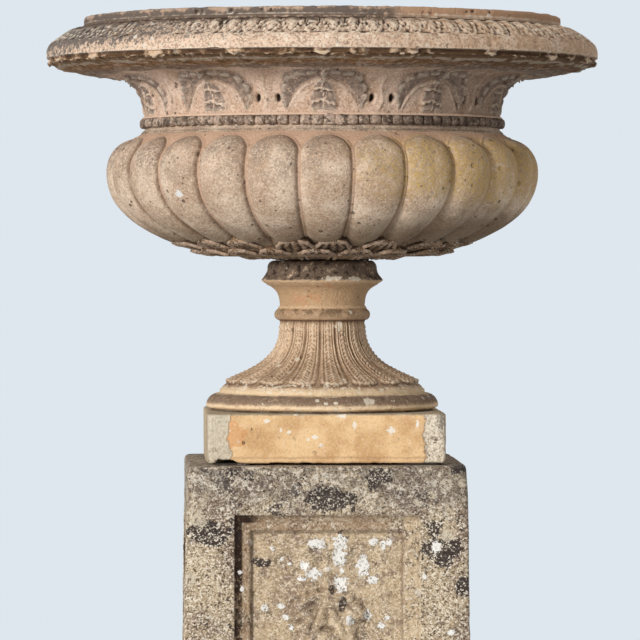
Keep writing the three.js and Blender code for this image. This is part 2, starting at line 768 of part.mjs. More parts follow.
function washer(radius, bottom, thickness) {
  return tube(boltHole, radius, bottom, bottom + thickness, SMALL_COLUMNS);
}

function nut(bottom) {
  const bore = ROD_DIAMETER / 2 + SEAT_GAP;
  const corner = NUT_WIDTH / Math.sqrt(3);
  const top = bottom + NUT_HEIGHT;
  return loft(
    [
      circle(SMALL_COLUMNS, at(bore, bottom)),
      circle(6, at(corner, bottom)),
      circle(6, at(corner, top)),
      circle(SMALL_COLUMNS, at(bore, top)),
    ],
    true,
  );
}

function tieRod() {
  const low = bottomNutBottom - ROD_END;
  const high = topNutBottom + NUT_HEIGHT + ROD_END;
  return cylinder(ROD_DIAMETER / 2, low, high);
}

function spreaderBar() {
  const top = barBottom + BAR_THICKNESS;
  const bar = loft(
    [rectangle(BAR_LENGTH, BAR_WIDTH, barBottom), rectangle(BAR_LENGTH, BAR_WIDTH, top)],
    false,
  );
  return cutAway(bar, [cylinder(boltHole, barBottom - 1, top + 1)]);
}

// The pedestal
const pedestal = new THREE.Group();
pedestal.add(
  piece("base_plinth", "stone", basePlinth()),
  piece("base_mortar_bed", "mortar", mortarBed()),
  piece("die_dowel_left", "iron", dieDowel(-1)),
  piece("die_dowel_right", "iron", dieDowel(1)),
  piece("pedestal_die", "stone", pedestalDie()),
);
const corners = [
  [-1, -1],
  [1, -1],
  [1, 1],
  [-1, 1],
];
corners.forEach(([x, y], index) => {
  pedestal.add(piece(`lead_packer_${index + 1}`, "lead", packer(x, y)));
});

// The urn, which lifts off the packers as one
const urn = new THREE.Group();
urn.position.z = urnBottom;
const socleBedOuter = TORUS_RADIUS - TORUS_FOOT_INSET - BED_RECESS;
const socleBed = tube(
  socleBaseInside + BED_RECESS,
  socleBedOuter,
  socleBedBottom,
  socleBedBottom + BED_THICKNESS,
  INNER_COLUMNS,
);
const bowlBed = tube(
  socleTopInside + BED_RECESS,
  SOCLE_TOP_RADIUS - BED_RECESS,
  bowlBedBottom,
  bowlBedBottom + BED_THICKNESS,
  INNER_COLUMNS,
);
const turnedBowl = piece("bowl", "terracotta", bowl());
turnedBowl.position.z = bowlBottom;
turnedBowl.rotation.z = THREE.MathUtils.degToRad(BOWL_TURN - 90);
urn.add(
  piece("foot_plinth", "plinthTerracotta", footPlinth()),
  piece("socle_bed", "mortar", socleBed),
  piece("foot_socle", "terracotta", footSocle()),
  piece("bowl_bed", "mortar", bowlBed),
  turnedBowl,
  piece("tie_rod", "iron", tieRod()),
  piece("lead_washer", "lead", washer(LEAD_WASHER_RADIUS, leadWasherBottom, LEAD_WASHER_THICKNESS)),
  piece("iron_washer", "iron", washer(IRON_WASHER_RADIUS, ironWasherBottom, IRON_WASHER_THICKNESS)),
  piece("top_nut", "iron", nut(topNutBottom)),
  piece("spreader_bar", "iron", spreaderBar()),
  piece("bottom_nut", "iron", nut(bottomNutBottom)),
);

const planter = new THREE.Group();
planter.add(pedestal, urn);

export default planter;
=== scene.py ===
"""A weathered terracotta garden urn on a carved stone pedestal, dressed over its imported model."""

import math

import bpy
import numpy as np
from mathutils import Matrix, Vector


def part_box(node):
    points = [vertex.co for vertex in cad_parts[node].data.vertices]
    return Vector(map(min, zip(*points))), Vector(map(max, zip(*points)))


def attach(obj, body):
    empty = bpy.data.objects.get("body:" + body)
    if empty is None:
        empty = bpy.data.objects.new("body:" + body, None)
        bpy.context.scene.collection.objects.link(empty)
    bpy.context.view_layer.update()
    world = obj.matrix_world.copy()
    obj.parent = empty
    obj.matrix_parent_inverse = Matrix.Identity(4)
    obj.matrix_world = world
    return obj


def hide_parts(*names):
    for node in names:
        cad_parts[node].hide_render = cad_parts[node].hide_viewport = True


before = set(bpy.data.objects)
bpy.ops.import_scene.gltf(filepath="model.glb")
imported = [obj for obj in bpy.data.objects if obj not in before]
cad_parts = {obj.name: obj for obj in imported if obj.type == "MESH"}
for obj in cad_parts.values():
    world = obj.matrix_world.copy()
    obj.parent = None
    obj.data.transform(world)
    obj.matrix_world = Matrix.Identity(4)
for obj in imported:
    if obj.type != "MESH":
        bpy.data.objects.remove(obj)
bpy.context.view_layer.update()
scene = bpy.context.scene


# Camera
# It stands about six metres in front, a little left of square, with its eye just above the foot
# of the bowl, and looks down by one degree, so the pedestal leaves the bottom of the picture.
IMAGE_SIDE = 640
MILLIMETRES_PER_PIXEL = 1.366
CAMERA_PIXELS = 4400
CAMERA_AZIMUTH = math.radians(-2.15)
EYE_ROW = 245
URN_FOOT_ROW = 457.5
AXIS_COLUMN = 322.2

urn_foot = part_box("foot_plinth")[0][2]


def place_camera():
    """Puts the camera at its distance, then turns it so that the axis and the eye level fall on
    their rows and columns of the picture: angle = offset in pixels over the distance in pixels."""
    distance = CAMERA_PIXELS * MILLIMETRES_PER_PIXEL / 1000
    height = urn_foot + (URN_FOOT_ROW - EYE_ROW) * MILLIMETRES_PER_PIXEL / 1000
    data = bpy.data.cameras.new("camera")
    data.sensor_width = 36
    data.lens = data.sensor_width * CAMERA_PIXELS / IMAGE_SIDE
    data.clip_end = 100
    camera = bpy.data.objects.new("camera", data)
    scene.collection.objects.link(camera)
    camera.location = (
        distance * math.sin(CAMERA_AZIMUTH),
        -distance * math.cos(CAMERA_AZIMUTH),
        height,
    )
    pitch = math.atan((IMAGE_SIDE / 2 - EYE_ROW) / CAMERA_PIXELS)
    pan = math.atan((AXIS_COLUMN - IMAGE_SIDE / 2) / CAMERA_PIXELS)
    camera.rotation_euler = (math.pi / 2 - pitch, 0, CAMERA_AZIMUTH + pan)
    scene.camera = camera


place_camera()


# Light, floor and background
# Daylight from an overcast sky, stronger from the left front, on a pale floor that fades out into
# a plain pale background.
BACKGROUND = (0.735, 0.797, 0.855)
SKY = (1.0, 0.95, 0.89)
SKY_STRENGTH = 0.46
KEY_STRENGTH = 2.45
KEY_SIZE = math.radians(14)
KEY_AZIMUTH = math.radians(-38)
KEY_ELEVATION = math.radians(11)
FLOOR_RADIUS = 5.0


class Signal:
    """One value of a material. Python arithmetic on it adds Math nodes to the material."""

    def __init__(self, finish, socket):
        self.finish = finish
        self.socket = socket

    def math(self, operation, first, second):
        return self.finish.add("ShaderNodeMath", {"operation": operation}, {0: first, 1: second})

    def __add__(self, other):
        return self.math("ADD", self, other)

    def __radd__(self, other):
        return self.math("ADD", other, self)

    def __sub__(self, other):
        return self.math("SUBTRACT", self, other)

    def __rsub__(self, other):
        return self.math("SUBTRACT", other, self)

    def __mul__(self, other):
        return self.math("MULTIPLY", self, other)

    def __rmul__(self, other):
        return self.math("MULTIPLY", other, self)

    def __truediv__(self, other):
        return self.math("DIVIDE", self, other)

    def __rtruediv__(self, other):
        return self.math("DIVIDE", other, self)

    def __neg__(self):
        return self.math("MULTIPLY", self, -1.0)

    def least(self, other):
        return self.math("MINIMUM", self, other)

    def most(self, other):
        return self.math("MAXIMUM", self, other)

    def size(self):
        return self.finish.add("ShaderNodeMath", {"operation": "ABSOLUTE"}, {0: self})

    def from_to(self, low, high):
        """0 at low, 1 at high and a smooth ease between; low may be the larger."""
        values = {"Value": self, "From Min": low, "From Max": high}
        settings = {"interpolation_type": "SMOOTHSTEP"}
        return self.finish.add("ShaderNodeMapRange", settings, values)


class Finish:
    """A material being mixed: its nodes, and short names for the ones used most."""

    def __init__(self, name):
        self.material = bpy.data.materials.new(name)
        self.material.use_nodes = True
        self.tree = self.material.node_tree
        self.tree.nodes.clear()
        self.place = self.add("ShaderNodeTexCoord", {}, {}, "Object")
        split = self.add("ShaderNodeSeparateXYZ", {}, {"Vector": self.place}, None)
        self.x, self.y, self.z = (Signal(self, split.outputs[axis]) for axis in "XYZ")

    def add(self, kind, settings, values, output=0):
        """Adds a node, its settings first and then its values or links, and returns one output."""
        node = self.tree.nodes.new(kind)
        for name, value in settings.items():
            setattr(node, name, value)
        for name, value in values.items():
            if isinstance(value, Signal):
                self.tree.links.new(value.socket, node.inputs[name])
            else:
                node.inputs[name].default_value = value
        return node if output is None else Signal(self, node.outputs[output])

    def attribute(self, name):
        return self.add("ShaderNodeAttribute", {"attribute_name": name}, {}, "Fac")

    def noise(self, grain, detail=3.0, rough=0.55, warp=0.0, place=None):
        """Cloudy noise from 0 to 1 whose lumps are about `grain` metres across."""
        values = {
            "Vector": place or self.place,
            "Scale": 1.0 / grain,
            "Detail": detail,
            "Roughness": rough,
            "Distortion": warp,
        }
        return self.add("ShaderNodeTexNoise", {}, values, "Fac")

    def specks(self, grain, share, soft=0.25):
        """Scattered specks: 1 inside the nearest part of a random share of cells, 0 elsewhere."""
        values = {"Vector": self.place, "Scale": 1.0 / grain}
        cells = self.add("ShaderNodeTexVoronoi", {}, values, None)
        near = Signal(self, cells.outputs["Distance"])
        chance = self.add("ShaderNodeSeparateColor", {}, {0: Signal(self, cells.outputs["Color"])})
        radius = chance.from_to(1.0 - share, 1.0) * 0.38
        return (radius - near).from_to(0.0, soft * 0.38)

    def grit(self, grain):
        """A random value from 0 to 1 for each sand grain, about `grain` metres across."""
        values = {"Vector": self.place, "Scale": 1.0 / grain}
        cells = self.add("ShaderNodeTexVoronoi", {}, values, 1)
        return self.add("ShaderNodeSeparateColor", {}, {0: cells})

    def stretched(self, across, up):
        """Object coordinates scaled so that a pattern comes out longer one way."""
        values = {"Vector": self.place, "Scale": (across, across, up)}
        return self.add("ShaderNodeMapping", {}, values)

    def patches(self, places, ragged=0.3, grain=0.01):
        """1 within any of some ellipsoids, each given by its middle and its reach in metres, and
        0 outside them all; their edges are ragged."""
        nearest = 9.0
        for middle, reach in places:
            away = self.add("ShaderNodeVectorMath", {"operation": "SUBTRACT"}, {0: self.place, 1: middle}, 0)
            shares = self.add("ShaderNodeVectorMath", {"operation": "DIVIDE"}, {0: away, 1: reach}, 0)
            nearest = self.add("ShaderNodeVectorMath", {"operation": "LENGTH"}, {0: shares}, 1).least(nearest)
        return (nearest + (self.noise(grain) - 0.5) * (4 * ragged)).from_to(1.12, 0.88)

    def blend(self, under, over, amount):
        """The colour `under` covered by `over` as far as `amount` says."""
        settings = {"data_type": "RGBA"}
        values = {0: amount, 6: self.paint(under), 7: self.paint(over)}
        return self.add("ShaderNodeMix", settings, values, 2)

    def paint(self, colour):
        return colour if isinstance(colour, Signal) else (*colour, 1.0)

    def surface(self, colour, roughness, relief=None, depth=0.002, metallic=0.0):
        """Ends the material: colour, roughness, and a bump of the given depth in metres."""
        values = {"Base Color": self.paint(colour), "Roughness": roughness, "Metallic": metallic}
        values["Specular IOR Level"] = 0.25
        if relief is not None:
            bump = {"Height": relief, "Distance": depth, "Strength": 1.0}
            values["Normal"] = self.add("ShaderNodeBump", {}, bump, "Normal")
        shader = self.add("ShaderNodeBsdfPrincipled", {}, values, "BSDF")
        self.add("ShaderNodeOutputMaterial", {}, {"Surface": shader}, None)
        return self.material


def srgb(red, green, blue):
    """A colour given as it looks on a screen, 0 to 255, turned into the linear light it stands
    for: ((c + 0.055) / 1.055) to the power 2.4, or c / 12.92 in the darkest part."""
    shares = np.array([red, green, blue]) / 255
    linear = np.where(shares > 0.04045, ((shares + 0.055) / 1.055) ** 2.4, shares / 12.92)
    return tuple(float(share) for share in linear)


def plain_world():
    """The sky lights the object from all round, and a camera or mirror ray sees the background."""
    world = bpy.data.worlds.new("sky")
    world.use_nodes = True
    tree = world.node_tree
    tree.nodes.clear()
    rays = tree.nodes.new("ShaderNodeLightPath")
    seen = tree.nodes.new("ShaderNodeMath")
    seen.operation = "MAXIMUM"
    tree.links.new(rays.outputs["Is Camera Ray"], seen.inputs[0])
    tree.links.new(rays.outputs["Is Glossy Ray"], seen.inputs[1])
    mix = tree.nodes.new("ShaderNodeMixShader")
    tree.links.new(seen.outputs[0], mix.inputs[0])
    for index, (colour, strength) in enumerate(((SKY, SKY_STRENGTH), (BACKGROUND, 1.0))):
        light = tree.nodes.new("ShaderNodeBackground")
        light.inputs["Color"].default_value = (*colour, 1)
        light.inputs["Strength"].default_value = strength
        tree.links.new(light.outputs[0], mix.inputs[index + 1])
    output = tree.nodes.new("ShaderNodeOutputWorld")
    tree.links.new(mix.outputs[0], output.inputs["Surface"])
    scene.world = world


def key_light():
    """A wide sun whose direction is its azimuth round from the front and its height."""
    data = bpy.data.lights.new("key", "SUN")
    data.energy = KEY_STRENGTH
    data.angle = KEY_SIZE
    data.color = (1.0, 0.97, 0.935)
    lamp = bpy.data.objects.new("key", data)
    scene.collection.objects.link(lamp)
    lamp.rotation_euler = (math.pi / 2 - KEY_ELEVATION, 0, KEY_AZIMUTH)


def pale_floor():
    """A disc of ring points, fading from a matt floor to nothing towards its edge."""
    turn = np.linspace(0, 2 * np.pi, 96, endpoint=False)
    points = np.stack([np.cos(turn), np.sin(turn), 0 * turn], axis=1) * FLOOR_RADIUS
    mesh = bpy.data.meshes.new("floor")
    mesh.from_pydata(points.tolist(), [], [list(range(len(turn)))])
    floor = bpy.data.objects.new("floor", mesh)
    scene.collection.objects.link(floor)
    finish = Finish("pale_floor")
    distance = finish.add("ShaderNodeVectorMath", {"operation": "LENGTH"}, {0: finish.place}, 1)
    matt = finish.add("ShaderNodeBsdfDiffuse", {}, {"Color": (*BACKGROUND, 1)}, 0)
    clear = finish.add("ShaderNodeBsdfTransparent", {}, {}, 0)
    fade = distance.from_to(FLOOR_RADIUS * 0.25, FLOOR_RADIUS * 0.8)
    mixed = finish.add("ShaderNodeMixShader", {}, {0: fade, 1: matt, 2: clear})
    finish.add("ShaderNodeOutputMaterial", {}, {"Surface": mixed}, None)
    mesh.materials.append(finish.material)


plain_world()
key_light()
pale_floor()

# Base stone
# The moulded block that the pedestal stands on, cut from the same shelly limestone as the die. It
# lies below the photograph's edge. Its edges are chipped, and it is darker low down where the
# ground splashes it.
MM = 0.001
FRONT = -math.pi / 2
BASE_BLOCK_HEIGHT = 64
BASE_MOULD_HEIGHT = 34
BASE_LEDGE_HALF = 204
BASE_ROUNDING = 7
CORNER_COLUMNS = 6


def ease(values, low, high):
    """0 at low, 1 at high, and t * t * (3 - 2t) between them; low may be the larger."""
    t = np.clip((values - low) / (high - low), 0, 1)
    return t * t * (3 - 2 * t)


def lumps(points, size, seed):
    """Smooth noise from -1 to 1 whose lumps are about `size` across: a random number for each
    corner of a lattice of cubes, eased from corner to corner by t * t * (3 - 2t)."""
    numbers = np.random.default_rng(seed).uniform(-1, 1, 65536)
    cell = np.floor(points / size).astype(np.int64)
    t = points / size - cell
    t = t * t * (3 - 2 * t)
    total = 0
    for corner in np.ndindex(2, 2, 2):
        x, y, z = (cell[..., axis] + corner[axis] for axis in range(3))
        share = np.where(corner, t, 1 - t).prod(axis=-1)
        total = total + share * numbers[(x * 7919 + y * 104729 + z * 1299709) % len(numbers)]
    return total


def crags(points, size, seed, layers=3):
    """Rough noise: lumps of `size`, half of them at half the size, a quarter at a quarter."""
    sums = [lumps(points, size / 2**layer, seed + layer) / 2**layer for layer in range(layers)]
    return sum(sums) / 1.5


def bend(start, pull_start, pull_end, end, count):
    """Points from start towards end along the cubic curve (1-t)^3 a + 3(1-t)^2 t b + 3(1-t) t^2 c
    + t^3 d, leaving out the end itself."""
    t = np.linspace(0, 1, count, endpoint=False)[:, None]
    a, b, c, d = (np.array(point, float) for point in (start, pull_start, pull_end, end))
    return (1 - t) ** 3 * a + 3 * (1 - t) ** 2 * t * b + 3 * (1 - t) * t**2 * c + t**3 * d


def straight(start, end, count):
    """Evenly spaced points from start towards end, leaving out the end itself."""
    t = np.linspace(0, 1, count, endpoint=False)[:, None]
    return np.array(start, float) * (1 - t) + np.array(end, float) * t


def square_rings(half, height, along, rounding):
    """Rings round a block: at each height, four sides `half` from the axis with points at the
    places `along`, and between two sides a quarter circle of radius `rounding`. Returns the
    points, their outward directions, and how far each column is from the middle of its side."""
    quarter = np.linspace(0, np.pi / 2, CORNER_COLUMNS + 2)[1:-1]
    half, height, rounding = (np.asarray(part, float)[:, None] for part in (half, height, rounding))
    points, outward, places = [], [], []
    widest = half.argmax()
    for side in range(4):
        angle = FRONT + side * np.pi / 2
        out = np.array([math.cos(angle), math.sin(angle), 0])
        along_side = np.array([-math.sin(angle), math.cos(angle), 0])
        flat = along * np.minimum(1, (half - rounding) / np.max(along))
        across = np.concatenate([flat, half - rounding + rounding * np.sin(quarter)], axis=1)
        depth = np.concatenate([half + 0 * flat, half - rounding + rounding * np.cos(quarter)], 1)
        levels = (height + 0 * depth)[..., None] * np.array([0, 0, 1])
        points.append(depth[..., None] * out + across[..., None] * along_side + levels)
        turned = np.concatenate([0 * along, quarter])[:, None]
        directions = np.cos(turned) * out + np.sin(turned) * along_side
        outward.append(np.broadcast_to(directions, points[-1].shape))
        places.append(across[widest])
    return np.concatenate(points, axis=1), np.concatenate(outward, axis=1), np.concatenate(places)


def lattice_piece(name, points, hollow, marks=()):
    """Makes a mesh from rings of points in millimetres, rings x columns x 3, or from many such
    copies. Each point is joined to the next along its ring and to the ring above. A hollow
    piece's last ring joins its first, and a solid piece is closed by a fan at each end. The
    marks are one number per point, kept as attributes for the material."""
    copies = points.reshape(-1, *points.shape[-3:])
    count, rings, columns = copies.shape[:3]
    here = np.arange(rings * columns).reshape(rings, columns)
    beside = np.roll(here, -1, axis=1)
    above, above_beside = np.roll(here, -1, axis=0), np.roll(beside, -1, axis=0)
    quads = np.stack([here, beside, above_beside, above], axis=-1)
    fans = np.zeros((0, 3), int)
    places = copies.reshape(count, -1, 3)
    if not hollow:
        quads = quads[:-1]
        places = np.concatenate([places, copies[:, 0].mean(1, keepdims=True)], axis=1)
        places = np.concatenate([places, copies[:, -1].mean(1, keepdims=True)], axis=1)
        low, high = np.full(columns, here.size), np.full(columns, here.size + 1)
        under = np.stack([beside[0], here[0], low], axis=-1)
        fans = np.concatenate([under, np.stack([here[-1], beside[-1], high], axis=-1)])
    offsets = (np.arange(count) * places.shape[1])[:, None, None]
    faces = (quads.reshape(-1, 4) + offsets).reshape(-1, 4).tolist()
    faces += (fans + offsets).reshape(-1, 3).tolist()
    mesh = bpy.data.meshes.new(name)
    mesh.from_pydata((places.reshape(-1, 3) * MM).tolist(), [], faces)
    mesh.shade_smooth()
    for mark, values in dict(marks).items():
        numbers = np.zeros(places.shape[:2])
        numbers[:, : here.size] = np.reshape(values, (count, -1))
        mesh.attributes.new(mark, "FLOAT", "POINT").data.foreach_set("value", numbers.ravel())
    piece = bpy.data.objects.new(name, mesh)
    scene.collection.objects.link(piece)
    return piece


def dress(piece, body, node, material):
    """Sets the piece on its body in place of its CAD node, with its material."""
    piece.data.materials.append(material)
    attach(piece, body)
    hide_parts(node)


def weathered(points, outward, seed, wear=1.0):
    """Moves the points along their outward directions by broad wear and small crumbling."""
    broad = np.minimum(crags(points, 60, seed), 0.35) * 1.6 - 0.9
    small = crags(points, 12, seed + 9) * 0.55
    return points + outward * ((broad + small) * wear)[..., None]


def base_stone():
    """Half width against height: a plain block, a quarter of an ellipse drawn in to the ledge, and
    a plain band. Its end rings draw in flat under the block and over the ledge."""
    low, high = (np.array(corner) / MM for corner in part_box("base_plinth"))
    half, top = high[0], high[2]
    hollow_top = BASE_BLOCK_HEIGHT + BASE_MOULD_HEIGHT
    quarter = np.linspace(0, np.pi / 2, 10)
    hollow = np.stack(
        [
            BASE_LEDGE_HALF + (half - BASE_LEDGE_HALF) * np.cos(quarter),
            BASE_BLOCK_HEIGHT + BASE_MOULD_HEIGHT * np.sin(quarter),
        ],
        axis=1,
    )
    outline = np.concatenate(
        [
            straight((half * 0.3, 0), (half - 2, 0), 4),
            straight((half - 2, 0), (half, 2), 2),
            straight((half, 2), (half, BASE_BLOCK_HEIGHT - 3), 13),
            straight((half, BASE_BLOCK_HEIGHT - 3), (half - 3, BASE_BLOCK_HEIGHT), 2),
            hollow[1:],
            straight((BASE_LEDGE_HALF, hollow_top + 1), (BASE_LEDGE_HALF, top - 2), 4),
            straight((BASE_LEDGE_HALF, top - 2), (BASE_LEDGE_HALF - 2, top), 2),
            straight((BASE_LEDGE_HALF - 2, top), (half * 0.3, top), 6),
        ]
    )
    along = np.linspace(8 - half * 0.999, half * 0.999 - 8, 92)
    rounding = np.full(len(outline), BASE_ROUNDING)
    points, outward, _ = square_rings(outline[:, 0], outline[:, 1], along, rounding)
    upright = ease(outline[:, 1], 0, 12) * (1 - ease(outline[:, 1], top - 4, top))
    corners = ease(np.abs(points[..., :2]).min(axis=-1), half - 40, half)
    chips = corners * np.maximum(crags(points, 38, 5), 0) * 7
    points = weathered(points, outward, 31, upright[:, None])
    points = points - outward * (chips * upright[:, None])[..., None]
    return lattice_piece("base_plinth_stone", points, hollow=False)


def limestone(finish):
    """Colour and relief of the shelly limestone: tan ground, cream shell and dark grains, black
    lichen in ragged patches and small round white and cream lichens."""
    ground = finish.noise(0.05, 5, 0.65).from_to(0.36, 0.62)
    colour = finish.blend(srgb(150, 130, 112), srgb(204, 184, 154), ground)
    grain = finish.noise(0.004, 4, 0.8)
    shell = grain * 0.4 + finish.grit(0.0015) * 0.35 + finish.grit(0.0029) * 0.25
    colour = finish.blend(colour, srgb(252, 244, 228), shell.from_to(0.53, 0.68) * 0.85)
    colour = finish.blend(colour, srgb(72, 60, 52), shell.from_to(0.45, 0.29) * 0.9)
    soot = finish.noise(0.055, 6, 0.75) + (shell - 0.5) * 0.3
    colour = finish.blend(colour, srgb(66, 57, 55), soot.from_to(0.43, 0.39) * 0.85)
    white = finish.specks(0.012, 0.2, 0.9) * finish.noise(0.05, 3).from_to(0.5, 0.6)
    colour = finish.blend(colour, srgb(240, 236, 226), white * 0.85)
    black = finish.specks(0.006, 0.16, 0.5)
    colour = finish.blend(colour, srgb(40, 34, 31), black * 0.85)
    return colour, shell, grain + white * 0.3 - black * 0.5


def base_finish():
    """Limestone, darker low down where the ground splashes it."""
    finish = Finish("base_limestone")
    colour, shell, relief = limestone(finish)
    splash = finish.z.from_to(0.05, 0.0) * finish.noise(0.03).from_to(0.35, 0.6)
    colour = finish.blend(colour, srgb(96, 88, 66), splash * 0.7)
    return finish.surface(colour, 0.95, relief + shell * 0.2, 0.0025)


dress(base_stone(), "pedestal", "base_plinth", base_finish())


# Mortar bed and dowels
# The die stands on a thin bed of lime mortar, and two wrought-iron dowels run in lead from the
# base into its foot. Of these only the edge of the bed is ever seen.
NO_SHINE = 0.95


def mortar(name, dirt=0.0):
    """Sandy lime mortar: grey cream with dark and pale sand grains and stained hollows, under as
    much dirt as is asked for."""
    finish = Finish(name)
    sand = finish.noise(0.0025, 3, 0.7)
    colour = finish.blend(srgb(176, 164, 144), srgb(214, 206, 188), sand.from_to(0.5, 0.64))
    colour = finish.blend(colour, srgb(84, 74, 62), sand.from_to(0.45, 0.36) * 0.7)
    stain = finish.noise(0.03, 4).from_to(0.5, 0.38)
    colour = finish.blend(colour, srgb(92, 80, 66), stain * 0.8)
    colour = finish.blend(colour, srgb(56, 46, 38), dirt)
    return finish.surface(colour, NO_SHINE, sand, 0.0015)


def rusted_iron(name):
    """Wrought iron under a coat of rust: brown and orange bloom, and dark scale between."""
    finish = Finish(name)
    bloom = finish.noise(0.012, 5, 0.7)
    colour = finish.blend(srgb(70, 46, 36), srgb(142, 84, 48), bloom.from_to(0.42, 0.62))
    scale = finish.noise(0.005, 3)
    colour = finish.blend(colour, srgb(44, 36, 33), scale.from_to(0.46, 0.36) * 0.8)
    bare = scale.from_to(0.5, 0.36)
    return finish.surface(colour, 0.9 - bare * 0.3, bloom + scale, 0.0008, bare * 0.4)


def coat(names, material):
    """Gives a material to CAD nodes that are shown as they are."""
    for name in names:
        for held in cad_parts[name].material_slots:
            held.material = material


coat(["base_mortar_bed"], mortar("base_mortar"))
coat(["die_dowel_left", "die_dowel_right"], rusted_iron("dowel_iron"))


# Pedestal die
# One upright block of the same limestone, tapering a little upwards, with a sunk and moulded
# panel on each side and a ribbon and a drop of leaves carved in each panel. The top corner at
# the front right is worn away, and rain has opened the grain all over.
DIE_TOP_HALF = 188
PANEL_HALF_WIDTH = 124
PANEL_HALF_HEIGHT = 236
PANEL_COVE_WIDTH = 13
PANEL_COVE_DEPTH = 8
PANEL_FILLET_WIDTH = 9
PANEL_STEP_DEPTH = 6
DIE_ROUNDING = 5
KNOT_HEIGHT = 188
KNOT_LOOP = 17
DROP_HEIGHT = 128
DROP_ROWS = 6
DROP_PITCH = 52
DROP_DEPTH = 11
DROP_LEAF_LENGTH = 78
DROP_LEAF_WIDTH = 19

def on_front(depth, *places):
    """Patches on a front face that lies so far before the axis: each place gives how far right of
    the axis and how high its middle is, and how far it reaches across and up, in millimetres."""
    return [((x * MM, -depth * MM, z * MM), (w * MM, 0.03, h * MM)) for x, z, w, h in places]


DIE_SOOT = on_front(
    184,
    (2, 670, 38, 15),
    (66, 699, 15, 13),
    (-124, 707, 9, 5),
    (-107, 698, 8, 3),
    (-158, 625, 32, 17),
    (150, 603, 22, 24),
    (142, 637, 12, 9),
    (179, 556, 11, 13),
    (178, 712, 12, 9),
    (22, 620, 12, 2.2),
    (17, 626, 5, 4),
    (20, 531, 5, 10),
    (6, 553, 5, 7),
    (-84, 585, 14, 6),
)
DIE_WHITE = on_front(
    184,
    (-13, 611, 13, 8),
    (-73, 605, 3, 3),
    (17, 613, 10, 10),
    (16, 594, 9, 13),
    (20, 575, 3, 4),
    (19, 557, 10, 10),
    (48, 580, 9, 14),
    (60, 563, 7, 6),
    (61, 614, 6, 5),
    (75, 609, 5, 6),
    (82, 613, 5, 5),
    (-60, 591, 3, 3),
    (-50, 584, 3, 3),
    (-31, 583, 6, 5),
    (-18, 571, 10, 8),
    (-34, 565, 5, 4),
    (-83, 526, 5, 5),
    (-61, 528, 5, 4),
    (-55, 513, 4, 4),
    (-48, 501, 4, 4),
    (30, 509, 6, 6),
    (54, 517, 5, 6),
    (79, 513, 4, 4),
    (72, 502, 5, 5),
    (145, 607, 6, 7),
    (129, 568, 3, 3),
    (-113, 552, 3, 3),
    (-116, 574, 3, 3),
    (164, 494, 5, 4),
)
DIE_CREAM = on_front(
    184,
    (158, 623, 8, 9),
    (-169, 644, 11, 10),
    (-182, 565, 9, 9),
    (157, 690, 8, 7),
    (180, 692, 6, 6),
    (139, 677, 6, 5),
    (120, 668, 5, 5),
)


def spaced(stops, counts):
    """Places from the first stop to the last, with so many even steps between each two stops."""
    pairs = zip(stops[:-1], stops[1:], counts)
    parts = [np.linspace(low, high, count, endpoint=False) for low, high, count in pairs]
    return np.append(np.concatenate(parts), stops[-1])


def hollows(relief, reach=2):
    """How far each point of a relief lies below the mean of its neighbours, up to `reach` points
    away both ways. The columns close round, and the first and last rows are repeated outwards."""
    steps = range(-reach, reach + 1)
    across = sum(np.roll(relief, step, axis=1) for step in steps)
    padded = np.pad(across, ((reach, reach), (0, 0)), mode="edge")
    total = sum(padded[reach + step : reach + step + len(relief)] for step in steps)
    return total / len(steps) ** 2 - relief


def panel_sink(across, height):
    """How far the face lies back: over the moulding's width it follows a quarter of an ellipse,
    then comes a flat fillet, then a step down to the ground of the panel."""
    edge = np.minimum(PANEL_HALF_WIDTH - np.abs(across), PANEL_HALF_HEIGHT - np.abs(height))
    t = np.clip(edge / PANEL_COVE_WIDTH, 0, 1)
    fillet_end = PANEL_COVE_WIDTH + PANEL_FILLET_WIDTH
    step = PANEL_STEP_DEPTH * ease(edge, fillet_end - 1, fillet_end + 1.5)
    return PANEL_COVE_DEPTH * np.sqrt(1 - (1 - t) ** 2) + step


def leaf_blade(along, beside, length, width, lobes):
    """Height of a leaf lying on its ground, 0 to 1: a round section over an outline that follows
    the root of a sine from stalk to tip, whose edge waves with the lobes, grooved at its rib."""
    t = np.clip(along / length, 0, 1)
    wave = 0.85 + 0.15 * np.cos(2 * np.pi * lobes * t + 2)
    outline = width * np.sqrt(np.sin(np.pi * t**0.8)) * wave
    swell = np.clip(1 - (beside / np.maximum(outline, 0.5)) ** 2, 0, 1) ** 0.6
    veins = 1 - 0.22 * ease(np.sin(2 * np.pi * lobes * (t + np.abs(beside) / length)), 0.2, 1)
    rib = 1 - 0.45 * np.exp(-((beside / 2.2) ** 2))
    return np.where((along > 0) & (along < length), swell * veins * rib, 0)


